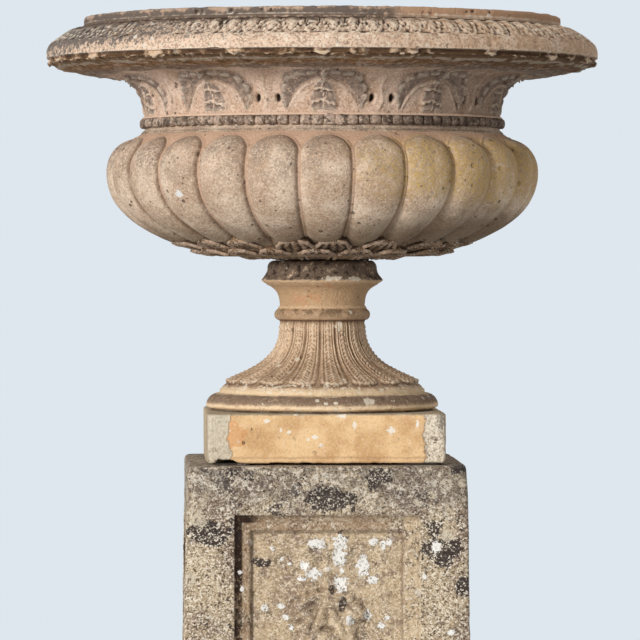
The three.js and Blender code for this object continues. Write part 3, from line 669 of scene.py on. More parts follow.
def carved_drop(across, height):
    """Relief of the carving in millimetres. The knot has two loops, each a rounded ring round an
    ellipse, and below it hangs a cord. Pairs of leaves lean out from the cord, with a berry
    between them and a drilled hole under each, and the rows overlap downwards."""
    loop = np.hypot((np.abs(across) - KNOT_LOOP) / 1.5, height - KNOT_HEIGHT)
    relief = 3.0 * np.exp(-(((loop - 8) / 3.2) ** 2))
    tail = np.abs(np.abs(across) - 12 - (KNOT_HEIGHT - height) * 0.55)
    hangs = (height < KNOT_HEIGHT) & (height > KNOT_HEIGHT - 44)
    relief = np.maximum(relief, np.where(hangs, 2.4 * np.exp(-((tail / 4) ** 2)), 0))
    cord = (height < KNOT_HEIGHT) & (height > DROP_HEIGHT - DROP_ROWS * DROP_PITCH)
    relief = np.maximum(relief, np.where(cord, 3 * np.exp(-((across / 3.5) ** 2)), 0))
    for row in range(DROP_ROWS):
        size = 1 - 0.09 * row
        below = DROP_HEIGHT - row * DROP_PITCH * (1 - 0.04 * row) - height
        for lean in (math.radians(24), math.radians(58)):
            length = DROP_LEAF_LENGTH * size * (1.0 if lean < 0.5 else 0.72)
            outward = np.abs(across) - 3
            along = outward * math.sin(lean) + below * math.cos(lean)
            beside = outward * math.cos(lean) - below * math.sin(lean)
            blade = leaf_blade(along, beside, length, DROP_LEAF_WIDTH * size, 4)
            relief = np.maximum(relief, DROP_DEPTH * blade)
        berry = np.clip(1 - (across**2 + (below - 4) ** 2) / (11 * size) ** 2, 0, 1)
        relief = np.maximum(relief, (DROP_DEPTH + 1) * np.sqrt(berry))
        hole = np.exp(-(((np.abs(across) - 19 * size) / 5) ** 2) - ((below - 20) / 8) ** 2)
        relief = relief - 6.5 * hole
    return relief


def pedestal_die():
    """The block's rings run from its foot up to its worn top edge. Each face is sunk by the panel
    and raised by the carving, and all of it is worn along the outward direction."""
    low, high = (np.array(corner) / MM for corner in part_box("pedestal_die"))
    bottom, top, foot_half = low[2], high[2], high[0]
    middle = (bottom + top) / 2
    edge = top - 7
    levels = np.concatenate(
        [
            spaced((bottom + 1, middle - PANEL_HALF_HEIGHT, 460), (14, 42))[:-1],
            spaced((460, middle + PANEL_HALF_HEIGHT - 26, middle + PANEL_HALF_HEIGHT), (60, 13))[:-1],
            spaced((middle + PANEL_HALF_HEIGHT, edge), (26,)),
        ]
    )
    taper = foot_half + (DIE_TOP_HALF - foot_half) * (levels - bottom) / (top - bottom)
    turn = np.radians([25, 50, 75])
    top_edge = np.stack([DIE_TOP_HALF - 4 + 4 * np.cos(turn), edge + 6.5 * np.sin(turn)], axis=1)
    outline = np.concatenate(
        [
            straight((foot_half * 0.3, bottom), (foot_half - 1, bottom), 4),
            np.stack([taper, levels], axis=1),
            top_edge,
            straight((DIE_TOP_HALF - 6, top), (DIE_TOP_HALF * 0.3, top), 12),
        ]
    )
    right = spaced((0, 99, 103, 112, 124, 171), (36, 2, 4, 6, 18))
    along = np.concatenate([-right[:0:-1], right])
    ease_up = ease(outline[:, 1], 500, top)
    rounding = DIE_ROUNDING + 3 * ease_up
    points, outward, places = square_rings(outline[:, 0], outline[:, 1], along, rounding)
    face = (outline[:, 1] > bottom) & (outline[:, 1] < top - 0.1)
    height = (outline[:, 1] - middle)[:, None]
    across = places[None, :] * np.ones_like(height)
    straight_side = np.abs(outward[..., :2]).max(axis=-1) > 0.999
    inside = straight_side & face[:, None]
    sink = np.where(inside, panel_sink(across, height), 0)
    ground = ease(sink, 11, 14)
    relief = carved_drop(across, height) * ground - sink
    worn_carving = relief + ground * np.minimum(crags(points, 16, 77), 0) * 2.2
    wear = np.where(face[:, None], 1.0, 0.35)
    points = points + outward * np.where(inside, worn_carving, 0)[..., None]
    points = weathered(points, outward, 12, wear)
    bite = corner_bite(points, top)
    points[..., :2] -= outward[..., :2] * bite[..., None]
    points[..., 2] -= np.where(points[..., 2] > top - 40, bite * 0.35, 0)
    marks = {"sunk": sink / 14, "hollow": hollows(np.where(inside, worn_carving, 0))}
    return lattice_piece("pedestal_die_stone", points, False, marks)


def corner_bite(points, top):
    """How much is worn off the upright corners: most on the top of the front right one, fading
    over 90 mm downwards and 26 mm sideways, and a little in chips down all four."""
    from_corner = DIE_TOP_HALF - np.abs(points[..., :2]).min(axis=-1)
    near = np.exp(-np.maximum(from_corner, 0) / 11)
    front_right = (points[..., 0] > 0) & (points[..., 1] < 0)
    depth = np.where(front_right, 9.0, 3.0) * np.exp(-np.maximum(top - points[..., 2], 0) / 26)
    chips = 5.5 * np.maximum(crags(points, 46, 61) - 0.05, 0)
    return near * (depth * (1 + 0.5 * crags(points, 18, 62)) + chips)


def die_finish():
    """Limestone. Soot lies over the worn corner on the right, painted shade darkens the moulding and its
    step on the left, pale lichens stand on the panel, and the upper band is greyer than the face below.
    Painted shade, with some dirt, darkens the hollows of the carving."""
    finish = Finish("die_limestone")
    colour, shell, relief = limestone(finish)
    sunk = finish.attribute("sunk")
    moulded = sunk.from_to(0.02, 0.15)
    ground = sunk.from_to(0.7, 0.95)
    crust = finish.noise(0.018, 5, 0.75)
    upper = finish.z.from_to(0.63, 0.69) * (1 - moulded)
    colour = finish.blend(colour, srgb(146, 138, 130), upper * crust.from_to(0.66, 0.4) * 0.3)
    fine = finish.noise(0.01, 5, 0.8)
    dirty = fine + finish.x.from_to(0.0, 0.14) * 0.05
    colour = finish.blend(colour, srgb(66, 60, 60), upper * dirty.from_to(0.49, 0.53) * 0.45)
    rings = finish.specks(0.02, 0.32, 0.7) * finish.x.from_to(0.08, 0.12)
    colour = finish.blend(colour, srgb(236, 230, 218), upper * rings.most(fine.from_to(0.45, 0.41)) * 0.6)
    colour = finish.blend(colour, srgb(222, 196, 160), ground * crust.from_to(0.3, 0.6) * 0.5)
    aged = moulded * (1 - ground) * finish.x.from_to(0.1, 0.07)
    colour = finish.blend(colour, srgb(168, 138, 108), aged * crust.from_to(0.7, 0.4) * 0.7)
    worn = moulded * finish.x.from_to(0.098, 0.106)
    colour = finish.blend(colour, srgb(232, 208, 172), worn * fine.from_to(0.56, 0.48) * 0.65)
    colour = finish.blend(colour, srgb(150, 126, 110), ground * crust.from_to(0.46, 0.38) * 0.6)
    # Painted shade: the moulding's cove, darkest on the left side away from the key light, and the step down to
    # the ground, darker on the left.
    left = finish.x.from_to(-0.085, -0.105)
    painted_cove_shade = moulded * sunk.from_to(0.573, 0.555) * (0.12 + left * 0.88)
    painted_cove_shade = painted_cove_shade * (finish.z.from_to(0.54, 0.6) * 0.6 + fine.from_to(0.62, 0.48) * 0.95).least(1.0)
    step = sunk.from_to(0.58, 0.7) * sunk.from_to(1.0, 0.9) * (0.3 + left * 0.6)
    step = step * finish.x.from_to(0.101, 0.095)
    colour = finish.blend(colour, srgb(52, 38, 30), painted_cove_shade * crust.from_to(0.74, 0.52))
    colour = finish.blend(colour, srgb(96, 70, 52), step * crust.from_to(0.6, 0.4))
    soot = finish.patches(DIE_SOOT, 0.7, 0.014) * (shell * 0.7 + crust * 0.3).from_to(0.64, 0.54)
    colour = finish.blend(colour, srgb(58, 50, 49), soot * 0.92)
    # Painted shade, with some dirt, in the hollows of the carving.
    hollow = finish.attribute("hollow")
    colour = finish.blend(colour, srgb(92, 70, 54), hollow.from_to(0.3, 1.6) * 0.45)
    cream = finish.patches(DIE_CREAM, 0.25, 0.008)
    colour = finish.blend(colour, srgb(216, 205, 184), cream * shell.from_to(0.3, 0.5) * 0.8)
    white = finish.patches(DIE_WHITE, 0.6, 0.0045) * shell.from_to(0.26, 0.36)
    scattered = finish.specks(0.02, 0.2, 0.5) * finish.noise(0.06).from_to(0.47, 0.55)
    white = white.most(scattered * (0.3 + ground * 0.5))
    colour = finish.blend(colour, srgb(255, 254, 250), white)
    return finish.surface(colour, 0.95, relief + white * 0.4, 0.0024)


dress(pedestal_die(), "pedestal", "pedestal_die", die_finish())


# Lead packers
# Four small sheets of lead level the urn on the pedestal and keep its wet foot off the stone.
# They leave the thin dark gap that runs round under the plinth.


def dull_lead(name):
    """Lead gone dull and dirty: dark grey with a pale bloom and darker creases."""
    finish = Finish(name)
    bloom = finish.noise(0.01, 4, 0.65)
    colour = finish.blend(srgb(58, 52, 48), srgb(112, 104, 98), bloom.from_to(0.48, 0.66))
    crease = finish.noise(0.03, 2, 0.5, 1.5)
    colour = finish.blend(colour, srgb(40, 34, 30), crease.from_to(0.42, 0.36) * 0.6)
    return finish.surface(colour, 0.62 + bloom * 0.2, bloom - crease, 0.0006, 0.2)


coat([f"lead_packer_{number}" for number in range(1, 5)], dull_lead("packer_lead"))


# Plinth of the urn
# A square box of terracotta, open underneath, with a smooth fired skin. The skin has come off at
# the upright corners, where the coarse body shows, and the lower front left corner is chipped.
PLINTH_HOLE_RADIUS = 30
PLINTH_INSIDE_HALF = 133
PLINTH_SLAB = 24
BROKEN_WIDTH = 33
PLINTH_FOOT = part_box("foot_plinth")[0][2]
PLINTH_STAIN = on_front(169, (-121, 754, 11, 16))
PLINTH_FLECKS = on_front(
    169,
    (86, 761, 5, 5),
    (-16, 752, 4, 3),
    (-7, 741, 3, 3),
    (-80, 774, 4, 3),
    (-61, 761, 2, 3),
    (-50, 759, 3, 2),
    (20, 781, 6, 3),
    (-41, 783, 3, 2),
    (37, 768, 3, 5),
    (121, 770, 2, 5),
    (-130, 761, 3, 2),
    (-118, 746, 2, 2),
    (-24, 749, 2, 2),
)


def foot_plinth():
    """The rings run out under the wall, up the outside, in over the top to the round hole, down
    through the slab and back down inside. Between the square wall and the hole each point goes
    over to a circle. The broken corners lie 2 mm back and are rough."""
    low, high = (np.array(corner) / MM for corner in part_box("foot_plinth"))
    bottom, top, half = low[2], high[2], high[0]
    slab = top - PLINTH_SLAB
    face = straight((half, bottom + 2), (half, top - 2), 30)
    outline = np.concatenate(
        [
            straight((PLINTH_INSIDE_HALF, bottom), (half - 1.5, bottom), 8),
            straight((half - 1.5, bottom), (half, bottom + 2), 2),
            face,
            straight((half, top - 2), (half - 2, top), 2),
            straight((half - 2, top), (PLINTH_HOLE_RADIUS, top), 26),
            straight((PLINTH_HOLE_RADIUS, top), (PLINTH_HOLE_RADIUS, slab), 5),
            straight((PLINTH_HOLE_RADIUS, slab), (PLINTH_INSIDE_HALF, slab), 8),
            straight((PLINTH_INSIDE_HALF, slab), (PLINTH_INSIDE_HALF, bottom), 7),
        ]
    )
    side = half - 13
    rounding = np.where(outline[:, 0] > PLINTH_INSIDE_HALF, 7.0, 3.0)
    along = np.linspace(-side, side, 126)
    points, outward, _ = square_rings(outline[:, 0], outline[:, 1], along, rounding)
    from_axis = np.hypot(points[..., 0], points[..., 1])[..., None]
    circle = points[..., :2] / from_axis * outline[:, 0][:, None, None]
    share = 1 - ease(outline[:, 0], PLINTH_HOLE_RADIUS, 90)
    points[..., :2] += (circle - points[..., :2]) * share[:, None, None]
    outside = ease(outline[:, 0], half - 12, half - 3)[:, None]
    from_corner = half - np.abs(points[..., :2]).min(axis=-1)
    ragged = BROKEN_WIDTH + 8 * crags(points, 26, 41) + 3 * lumps(points, 6, 42)
    broken = ease(from_corner - ragged, 1.2, -1.2) * outside
    rough = 2.2 + 1.6 * np.abs(crags(points, 14, 43)) + 0.9 * crags(points, 5, 44)
    wear = broken * rough + (1 - broken) * 0.25 * (1 + crags(points, 40, 45))
    upper_right = (points[..., 0] > 0) * ease(points[..., 2], top - 34, top)
    wear = wear + 11 * upper_right * np.exp(-from_corner / 7)
    wear = wear + 5 * np.exp(-from_corner / 5) * np.maximum(crags(points, 30, 46), 0)
    points = points - outward * (wear * outside)[..., None]
    edges = np.maximum(crags(points, 9, 47), 0) * 2.2 * outside
    points[..., 2] -= edges * ease(points[..., 2], top - 3, top)
    front_left = (points[..., 1] < 0) * ease(points[..., 0], -116, -126)
    notch = front_left * ease(points[..., 0], -150, -144) * ease(points[..., 2], bottom + 12, bottom)
    points[..., 2] += 4.5 * notch + edges * ease(points[..., 2], bottom + 3, bottom)
    return lattice_piece("foot_plinth_terracotta", points, True, {"broken": broken})


def fired_clay(finish, light, deep, contrast=0.6):
    """Colour, sandy grain and relief of weathered terracotta: two tones in clouds, pale and dark
    grains of sand as strong as the contrast says, and small dark pits."""
    cloud = finish.noise(0.05, 4, 0.6)
    colour = finish.blend(srgb(*deep), srgb(*light), cloud.from_to(0.38, 0.6))
    grain = finish.noise(0.003, 3, 0.7)
    sand = grain * 0.5 + finish.grit(0.0019) * 0.5
    colour = finish.blend(colour, srgb(248, 236, 216), sand.from_to(0.56, 0.72) * contrast)
    colour = finish.blend(colour, srgb(104, 80, 62), sand.from_to(0.44, 0.28) * contrast)
    pits = finish.specks(0.01, 0.13, 0.4)
    colour = finish.blend(colour, srgb(72, 56, 45), pits * 0.75)
    return colour, grain, grain * 0.6 - pits * 0.8


def plinth_finish():
    """Ochre skin with pale dust and a few dark marks; cream and grey body where it has broken;
    dirt in the edges of the breaks and under the foot."""
    finish = Finish("plinth_clay")
    colour, grain, relief = fired_clay(finish, (242, 206, 158), (216, 174, 126), 0.14)
    body = finish.blend(srgb(188, 174, 154), srgb(240, 230, 212), grain.from_to(0.4, 0.56))
    crumbs = finish.noise(0.011, 4, 0.7)
    coarse = finish.x.from_to(-0.1, 0.1) * 0.7 + finish.z.from_to(PLINTH_FOOT + 0.03, PLINTH_FOOT) * 0.6
    body = finish.blend(body, srgb(204, 194, 172), finish.x.from_to(0.1, -0.1) * 0.6)
    body = finish.blend(body, srgb(96, 80, 66), crumbs.from_to(0.46, 0.36) * (coarse + 0.15).least(0.9))
    broken = finish.attribute("broken")
    rim = broken.from_to(0.05, 0.4) * broken.from_to(0.98, 0.6)
    colour = finish.blend(colour, body, broken.from_to(0.3, 0.6))
    colour = finish.blend(colour, srgb(138, 104, 76), rim * 0.6)
    skin = 1 - broken.from_to(0.1, 0.5)
    line = finish.noise(0.02) * 0.006 + finish.z
    tide = line.from_to(PLINTH_FOOT + 0.0125, PLINTH_FOOT + 0.011)
    tide = tide * line.from_to(PLINTH_FOOT + 0.0075, PLINTH_FOOT + 0.0095)
    colour = finish.blend(colour, srgb(150, 112, 78), tide * skin * 0.3)
    flecks = finish.noise(0.009, 5, 0.85).from_to(0.64, 0.69)
    flecks = flecks.most(finish.patches(PLINTH_FLECKS, 0.6, 0.004))
    high_up = (finish.z + finish.noise(0.01, 3) * 0.02).from_to(PLINTH_FOOT + 0.072, PLINTH_FOOT + 0.078)
    colour = finish.blend(colour, srgb(196, 182, 158), high_up * skin * 0.6)
    half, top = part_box("foot_plinth")[1][0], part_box("foot_plinth")[1][2]
    aside = finish.x.size().from_to(half - 0.0042, half - 0.0026) * finish.x.from_to(0.01, -0.01)
    above = finish.z.from_to(top - 0.0024, top - 0.001)
    colour = finish.blend(colour, srgb(190, 176, 152), aside.most(above) * (grain + 0.35).least(0.9))
    colour = finish.blend(colour, srgb(244, 238, 226), flecks * skin * 0.9)
    dust = finish.noise(0.02, 5, 0.7)
    colour = finish.blend(colour, srgb(150, 120, 92), dust.from_to(0.4, 0.32) * 0.6)
    colour = finish.blend(colour, srgb(206, 130, 66), finish.patches(PLINTH_STAIN, 0.8, 0.012) * skin * 0.4)
    return finish.surface(colour, 0.88, relief + broken * crumbs, 0.0018)


dress(foot_plinth(), "urn", "foot_plinth", plinth_finish())


# Bed of the socle
# A ring of mortar joins the socle to its plinth.
coat(["socle_bed"], mortar("socle_mortar", 0.7))


# Socle
# The urn's waisted foot, pressed hollow in a mould: torus, fillet, a long hollow clothed in
# eighteen hanging leaves, a ring at the waist and a drip edge under the dark top knop.
URN_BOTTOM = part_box("foot_plinth")[0][2] / MM
SOCLE_TORUS_RADIUS = 158.5
SOCLE_FILLET_RADIUS = 140
SOCLE_WAIST_RADIUS = 57
SOCLE_RING_RADIUS = 65
SOCLE_DRIP_RADIUS = 83
SOCLE_TOP_RADIUS = 68
SOCLE_WALL = 24
SOCLE_LEAVES = 18
SOCLE_LEAF_TURN = math.radians(-4.75)
SOCLE_COLUMNS = 504
TIP_HEIGHT = 103.5
SOCLE_STAINS = on_front(60, (-34, 935, 13, 7), (-12, 938, 10, 6), (6, 952, 8, 4))
KNOP_LICHENS = on_front(78, (9, 963, 12, 3), (42, 962, 9, 3), (21, 898, 7, 7))
SOCLE_LICHENS = on_front(
    158,
    (58, 799, 9, 5),
    (82, 806, 4, 3),
    (91, 800, 4, 3),
    (-1, 796, 3, 2),
    (12, 797, 3, 2),
    (-85, 795, 4, 3),
    (-104, 799, 3, 4),
    (2, 821, 6, 3),
    (-30, 821, 6, 4),
    (35, 821, 7, 3),
    (-80, 814, 8, 4),
    (60, 814, 8, 5),
)


def turned_rings(outline, relief, bearings):
    """Rings of a turned shape. The outline, radius and height in millimetres, is pushed out along
    its own normal by the relief, and a point at a bearing b lies at (r sin b, -r cos b)."""
    along = np.roll(outline, -1, axis=0) - np.roll(outline, 1, axis=0)
    along = along / np.hypot(*along.T)[:, None]
    radius = outline[:, :1] + along[:, 1:] * relief
    height = outline[:, 1:] - along[:, :1] * relief
    return np.stack([radius * np.sin(bearings), -radius * np.cos(bearings), height], axis=-1)


def rounded(centre, radius_out, radius_up, start, end, count):
    """Points of an ellipse about a centre in the plane of radius and height, from one angle to
    another in degrees above straight out, leaving out the last."""
    turn = np.radians(np.linspace(start, end, count, endpoint=False))
    return np.stack(
        [centre[0] + radius_out * np.cos(turn), centre[1] + radius_up * np.sin(turn)], axis=1
    )


def in_order(stretches):
    """Joins named stretches of outline into one, and says which rows each of them takes."""
    rows, start = {}, 0
    for name, points in stretches:
        rows[name] = slice(start, start + len(points))
        start += len(points)
    return np.concatenate([points for _, points in stretches]), rows


def length_along(outline):
    """Distance run along the outline to each of its points."""
    steps = np.hypot(*np.diff(outline, axis=0).T)
    return np.concatenate([[0], np.cumsum(steps)])


def hanging_leaves(run, radius, bearings, tip_run):
    """Relief of the leaves on the long hollow. Across a leaf u goes from -1 to 1: it swells as
    1 - u^2, has a raised round-ended margin, two flutes, and a midrib strip of slanting veins.
    Its lower end is blunt, and a dart fills the gap between two ends."""
    pitch = 2 * np.pi / SOCLE_LEAVES
    turn = (bearings - SOCLE_LEAF_TURN) / pitch
    u = 2 * (turn - np.floor(turn)) - 1
    half = radius * pitch / 2
    across = np.abs(u) * half
    from_tip = run - tip_run
    end = np.clip(from_tip / (half * 0.9), 0, 1)
    edge = half * np.sqrt(1 - (1 - end) ** 2) - across - 0.3
    leaf = ease(half * np.clip(from_tip / (half * 0.3), 0, 1) ** 0.4 - across - 0.3, -0.6, 1.0)
    swell = 1.6 * (1 - u**2)
    margin = 1.1 * np.exp(-(((edge - 2.2) / 1.1) ** 2))
    flutes = 0.7 * np.cos(2 * np.pi * (1 - np.abs(u)) * 3.5) * ease(np.abs(u), 0.2, 0.4)
    veins = np.sin(2 * np.pi * (run / 6.5 + across / 6.0)) * 0.75 * ease(np.abs(u), 0.42, 0.26)
    rib = 0.9 * np.exp(-((across / 1.2) ** 2)) * ease(np.abs(u), 0.4, 0.2)
    body = leaf * (2.4 + swell + margin + flutes + veins + rib)
    dart = 1.6 * np.exp(-(((np.abs(u) - 1) / 0.16) ** 2)) * (1 - leaf) * ease(from_tip, -4, 6)
    return body + dart


def foot_socle():
    """The outline goes out under the foot, up the mouldings, in over the top and back down the
    hollow inside. Leaves and wear are laid on it as relief."""
    bottom = URN_BOTTOM + 68.0
    fillet_top, ring_low, ring_high, drip, top = (URN_BOTTOM + z for z in (95, 188, 205, 241.5, 269))
    foot_inside = SOCLE_FILLET_RADIUS - SOCLE_WALL
    bore = SOCLE_WAIST_RADIUS - SOCLE_WALL
    torus = (SOCLE_FILLET_RADIUS, bottom + 4)
    waist = SOCLE_WAIST_RADIUS
    arch = (foot_inside, fillet_top - 6)
    outline, rows = in_order(
        [
            ("bed", straight((foot_inside, bottom), (155, bottom), 6)),
            ("torus", rounded(torus, 18.5, 5.2, -80, 0, 6)),
            ("cushion", rounded(torus, 18.5, 17, 0, 88, 14)),
            ("fillet", straight((SOCLE_FILLET_RADIUS, bottom + 21.5), (139.5, fillet_top), 5)),
            (
                "hollow",
                bend(
                    (139, fillet_top + 1),
                    (waist + 75, fillet_top + 19),
                    (waist - 9, fillet_top + 23),
                    (waist, ring_low),
                    78,
                ),
            ),
            ("ring", rounded((waist + 1.5, (ring_low + ring_high) / 2 - 1), 7, 7.6, -86, 80, 13)),
            ("neck fillet", straight((waist + 3, ring_high), (waist + 3, ring_high + 2), 2)),
            (
                "cavetto",
                bend(
                    (waist + 1, ring_high + 2.5),
                    (waist + 1, ring_high + 21),
                    (waist + 9, drip - 9),
                    (SOCLE_DRIP_RADIUS - 6, drip - 4.5),
                    18,
                ),
            ),
            ("drip", straight((SOCLE_DRIP_RADIUS - 6, drip - 3.5), (SOCLE_DRIP_RADIUS, drip), 4)),
            (
                "weathering",
                bend((SOCLE_DRIP_RADIUS, drip + 1), (79, drip + 6), (75, drip + 9), (74.5, drip + 15), 6),
            ),
            ("knop", rounded((65, top - 10), 9.5, 10, -8, 88, 9)),
            ("top", straight((64, top), (SOCLE_TOP_RADIUS - SOCLE_WALL, top), 4)),
            ("mouth", straight((44, top), (44, drip), 4)),
            ("bore", bend((bore, ring_high), (bore, fillet_top + 37), (bore, fillet_top + 32), arch, 14)),
        ]
    )
    bearings = np.linspace(0, 2 * np.pi, SOCLE_COLUMNS, endpoint=False)
    relief = np.zeros((len(outline), SOCLE_COLUMNS))
    hollow = outline[rows["hollow"]]
    run = length_along(hollow)[:, None]
    tip_run = np.interp(URN_BOTTOM + TIP_HEIGHT, hollow[:, 1], run[:, 0])
    leaves = hanging_leaves(run, hollow[:, :1], bearings[None, :], tip_run)
    fade = ease(hollow[:, 1:], ring_low + 2, ring_low - 10) * 0.65 + 0.35
    relief[rows["hollow"]] = leaves * fade - 2.0
    points = turned_rings(outline, relief, bearings)
    seen = np.zeros((len(outline), 1))
    seen[rows["torus"].start : rows["knop"].stop] = 1
    rough = np.zeros((len(outline), 1))
    rough[rows["weathering"].start : rows["top"].start] = 1
    wear = 0.5 * crags(points, 22, 51) + 0.25 * crags(points, 7, 52)
    chips = np.maximum(crags(points, 17, 53) - 0.25, 0) * ease(outline[:, :1], 74, SOCLE_DRIP_RADIUS)
    wear = wear + rough * (0.9 * crags(points, 11, 54) - 6 * chips)
    low_edge = np.zeros((len(outline), 1))
    low_edge[rows["cushion"]] = 1
    low_edge[rows["fillet"]] = 1
    wear = wear - 2.4 * low_edge * np.maximum(crags(points, 13, 55) - 0.2, 0)
    relief = relief + wear * seen
    points = turned_rings(outline, relief, bearings)
    marks = {"relief": relief, "hollow": hollows(relief, 3)}
    return lattice_piece("foot_socle_terracotta", points, True, marks)


def socle_finish():
    """Each height of the socle has weathered its own way: dark crust on the torus and the knop,
    pale fillet, brown leaves with light ridges and white tips, a clean spotted cavetto. Painted
    shade darkens the hollows and a line under the ring, and painted highlight lightens the crests
    of the leaves and the arrises above the ring and at the drip."""
    finish = Finish("socle_clay")
    colour, grain, relief = fired_clay(finish, (232, 201, 168), (202, 170, 138), 0.5)
    high = finish.z / MM - URN_BOTTOM + (finish.noise(0.014) - 0.5) * 5
    crust = finish.noise(0.012, 4, 0.7)

    raised = finish.attribute("relief")
    leaves = high.from_to(97, 101) * high.from_to(192, 186)
    colour = finish.blend(colour, srgb(164, 134, 106), leaves * raised.from_to(2.5, 0.5) * 0.7)
    colour = finish.blend(colour, srgb(126, 100, 80), leaves * raised.from_to(0.6, -1.6) * 0.4)
    colour = finish.blend(colour, srgb(214, 188, 160), leaves * raised.from_to(3.4, 5.4) * 0.55)
    # Painted shade, with some dirt, in the hollows, and painted highlight on the crests of the leaves.
    hollow = finish.attribute("hollow")
    colour = finish.blend(colour, srgb(96, 72, 55), hollow.from_to(0.15, 0.9) * 0.6)
    colour = finish.blend(colour, srgb(222, 200, 174), leaves * hollow.from_to(-0.25, -0.9) * 0.6)
    tips = high.from_to(98, 102) * high.from_to(112, 105) * finish.noise(0.02, 3).from_to(0.5, 0.58)
    colour = finish.blend(colour, srgb(236, 220, 196), tips * raised.from_to(0, 1.5) * 0.85)

    dark = high.from_to(92, 86) * high.from_to(71, 80)
    colour = finish.blend(colour, srgb(112, 92, 78), dark * crust.from_to(0.2, 0.46) * 0.8)
    low = high.from_to(77, 73)
    colour = finish.blend(colour, srgb(246, 220, 184), low * crust.from_to(0.3, 0.45) * 0.9)
    pale = high.from_to(87, 89) * high.from_to(98, 95)
    colour = finish.blend(colour, srgb(232, 208, 172), pale * 0.8)

    ring = high.from_to(187, 190) * high.from_to(207, 204)
    colour = finish.blend(colour, srgb(172, 140, 108), ring * 0.7)
    soot = ring * high.from_to(190, 199) * crust.from_to(0.56, 0.42)
    colour = finish.blend(colour, srgb(104, 84, 62), soot * 0.7)
    cavetto = high.from_to(205, 209) * high.from_to(243, 237)
    colour = finish.blend(colour, srgb(184, 150, 112), cavetto * 0.75)
    stains = finish.patches(SOCLE_STAINS, 1.2, 0.006) * grain.from_to(0.3, 0.6)
    colour = finish.blend(colour, srgb(204, 130, 88), stains * 0.35)
    spots = finish.specks(0.008, 0.25, 0.4)
    colour = finish.blend(colour, srgb(120, 72, 50), cavetto * spots * 0.7)
    knop = high.from_to(239, 245)
    colour = finish.blend(colour, srgb(112, 95, 81), knop * crust.from_to(0.72, 0.52) * 0.95)
    colour = finish.blend(colour, srgb(60, 48, 40), knop * crust.from_to(0.46, 0.38) * 0.9)

    level = finish.z / MM - URN_BOTTOM
    # Painted shade: a dark line under the ring.
    colour = finish.blend(colour, srgb(92, 68, 50), level.from_to(189.6, 188.6) * level.from_to(185.5, 187) * 0.7)
    # Painted highlight: light lines along the arris above the ring and on the drip edge.
    painted_arris_highlights = level.from_to(203.5, 204.5) * level.from_to(207.5, 206.5)
    colour = finish.blend(colour, srgb(224, 190, 150), painted_arris_highlights.most(level.from_to(239, 240) * level.from_to(243, 242)) * 0.6)
    white = finish.specks(0.012, 0.16, 0.3).most(finish.patches(SOCLE_LICHENS, 0.5, 0.005))
    ragged = finish.noise(0.008, 4, 0.7).from_to(0.54, 0.6) * level.from_to(89, 93) * level.from_to(106, 102)
    white = white.most(ragged).most(finish.patches(KNOP_LICHENS, 0.7, 0.005))
    colour = finish.blend(colour, srgb(236, 226, 206), white * (1 - cavetto) * 0.8)
    return finish.surface(colour, 0.9, relief + crust * 0.8, 0.0022)


dress(foot_socle(), "urn", "foot_socle", socle_finish())


# Bed of the bowl
# A thin ring of mortar on the knop, now a dark seam under the bowl.
coat(["bowl_bed"], mortar("bowl_mortar", 0.9))


# Belly of the bowl
# The lower part of one hollow pressing of the same terracotta, thrown into twenty-five gadroons
# with round heads. It ends in the channel under the neck, where the two moulds met.
BOWL_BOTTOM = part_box("bowl")[0][2] / MM
BELLY_COLUMNS = 700
CALYX_FOOT_RADIUS = 158
BELLY_RADIUS = 294.4
BELLY_Z = 118
GADROONS = 25
GADROON_TURN = math.radians(-1.0)
GADROON_DEPTH = 10.5
GROOVE_HALF = 1.7
HEAD_Z = 146
SHOULDER_RADIUS = 251
SHOULDER_Z = 173
CHANNEL_RADIUS = 240
SEAM_Z = 184
BOWL_WALL = 28
WHITE_SPOT = (-0.198, -0.212, 1.074)
BOWL_FLOOR = 34


def around(bearings, count, turn):
    """Angle from the nearest of `count` even places round the bowl, the first of them at turn."""
    pitch = 2 * np.pi / count
    return (bearings - turn + pitch / 2) % pitch - pitch / 2


def gadroon_bearings():
    """Columns closer together in the grooves than on the crowns: v - 0.4 sin(v) per gadroon."""
    v = np.linspace(0, 2 * np.pi, BELLY_COLUMNS, endpoint=False)
    return GADROON_TURN + v + 0.4 * np.sin(GADROONS * v) / GADROONS


def gadroons(radius, run, head_run, bearings):
    """Relief of the gadroons, and the distance in from the edge of the nearest. An edge runs up
    beside each groove and closes in half a circle at the head. The section rises steeply from the
    edge and is nearly flat on the crown, as 1 - (1 - q)^2.6 to the power 0.7, and a thin raised
    fillet follows the groove and goes round the heads."""
    pitch = 2 * np.pi / GADROONS
    half = radius * pitch / 2 - GROOVE_HALF
    across = np.abs(around(bearings, GADROONS, GADROON_TURN)) * radius
    above = np.maximum(run - head_run, 0)
    head_half = np.interp(head_run, run[:, 0], half[:, 0])
    closing = head_half - np.hypot(across * head_half / half, above)
    inside = np.where(above > 0, closing, half - across)
    q = np.clip(inside / head_half, 0, 1)
    crown = GADROON_DEPTH * (1 - (1 - q) ** 2.6) ** 0.7
    fillet = 2.8 * np.exp(-(((inside + GROOVE_HALF) / 1.5) ** 2))
    return crown + fillet - GADROON_DEPTH, inside


def on_bowl(radius, height):
    """A point of the bowl's outline from its radius and its height above the bowl's foot."""
    return (radius, height + BOWL_BOTTOM)


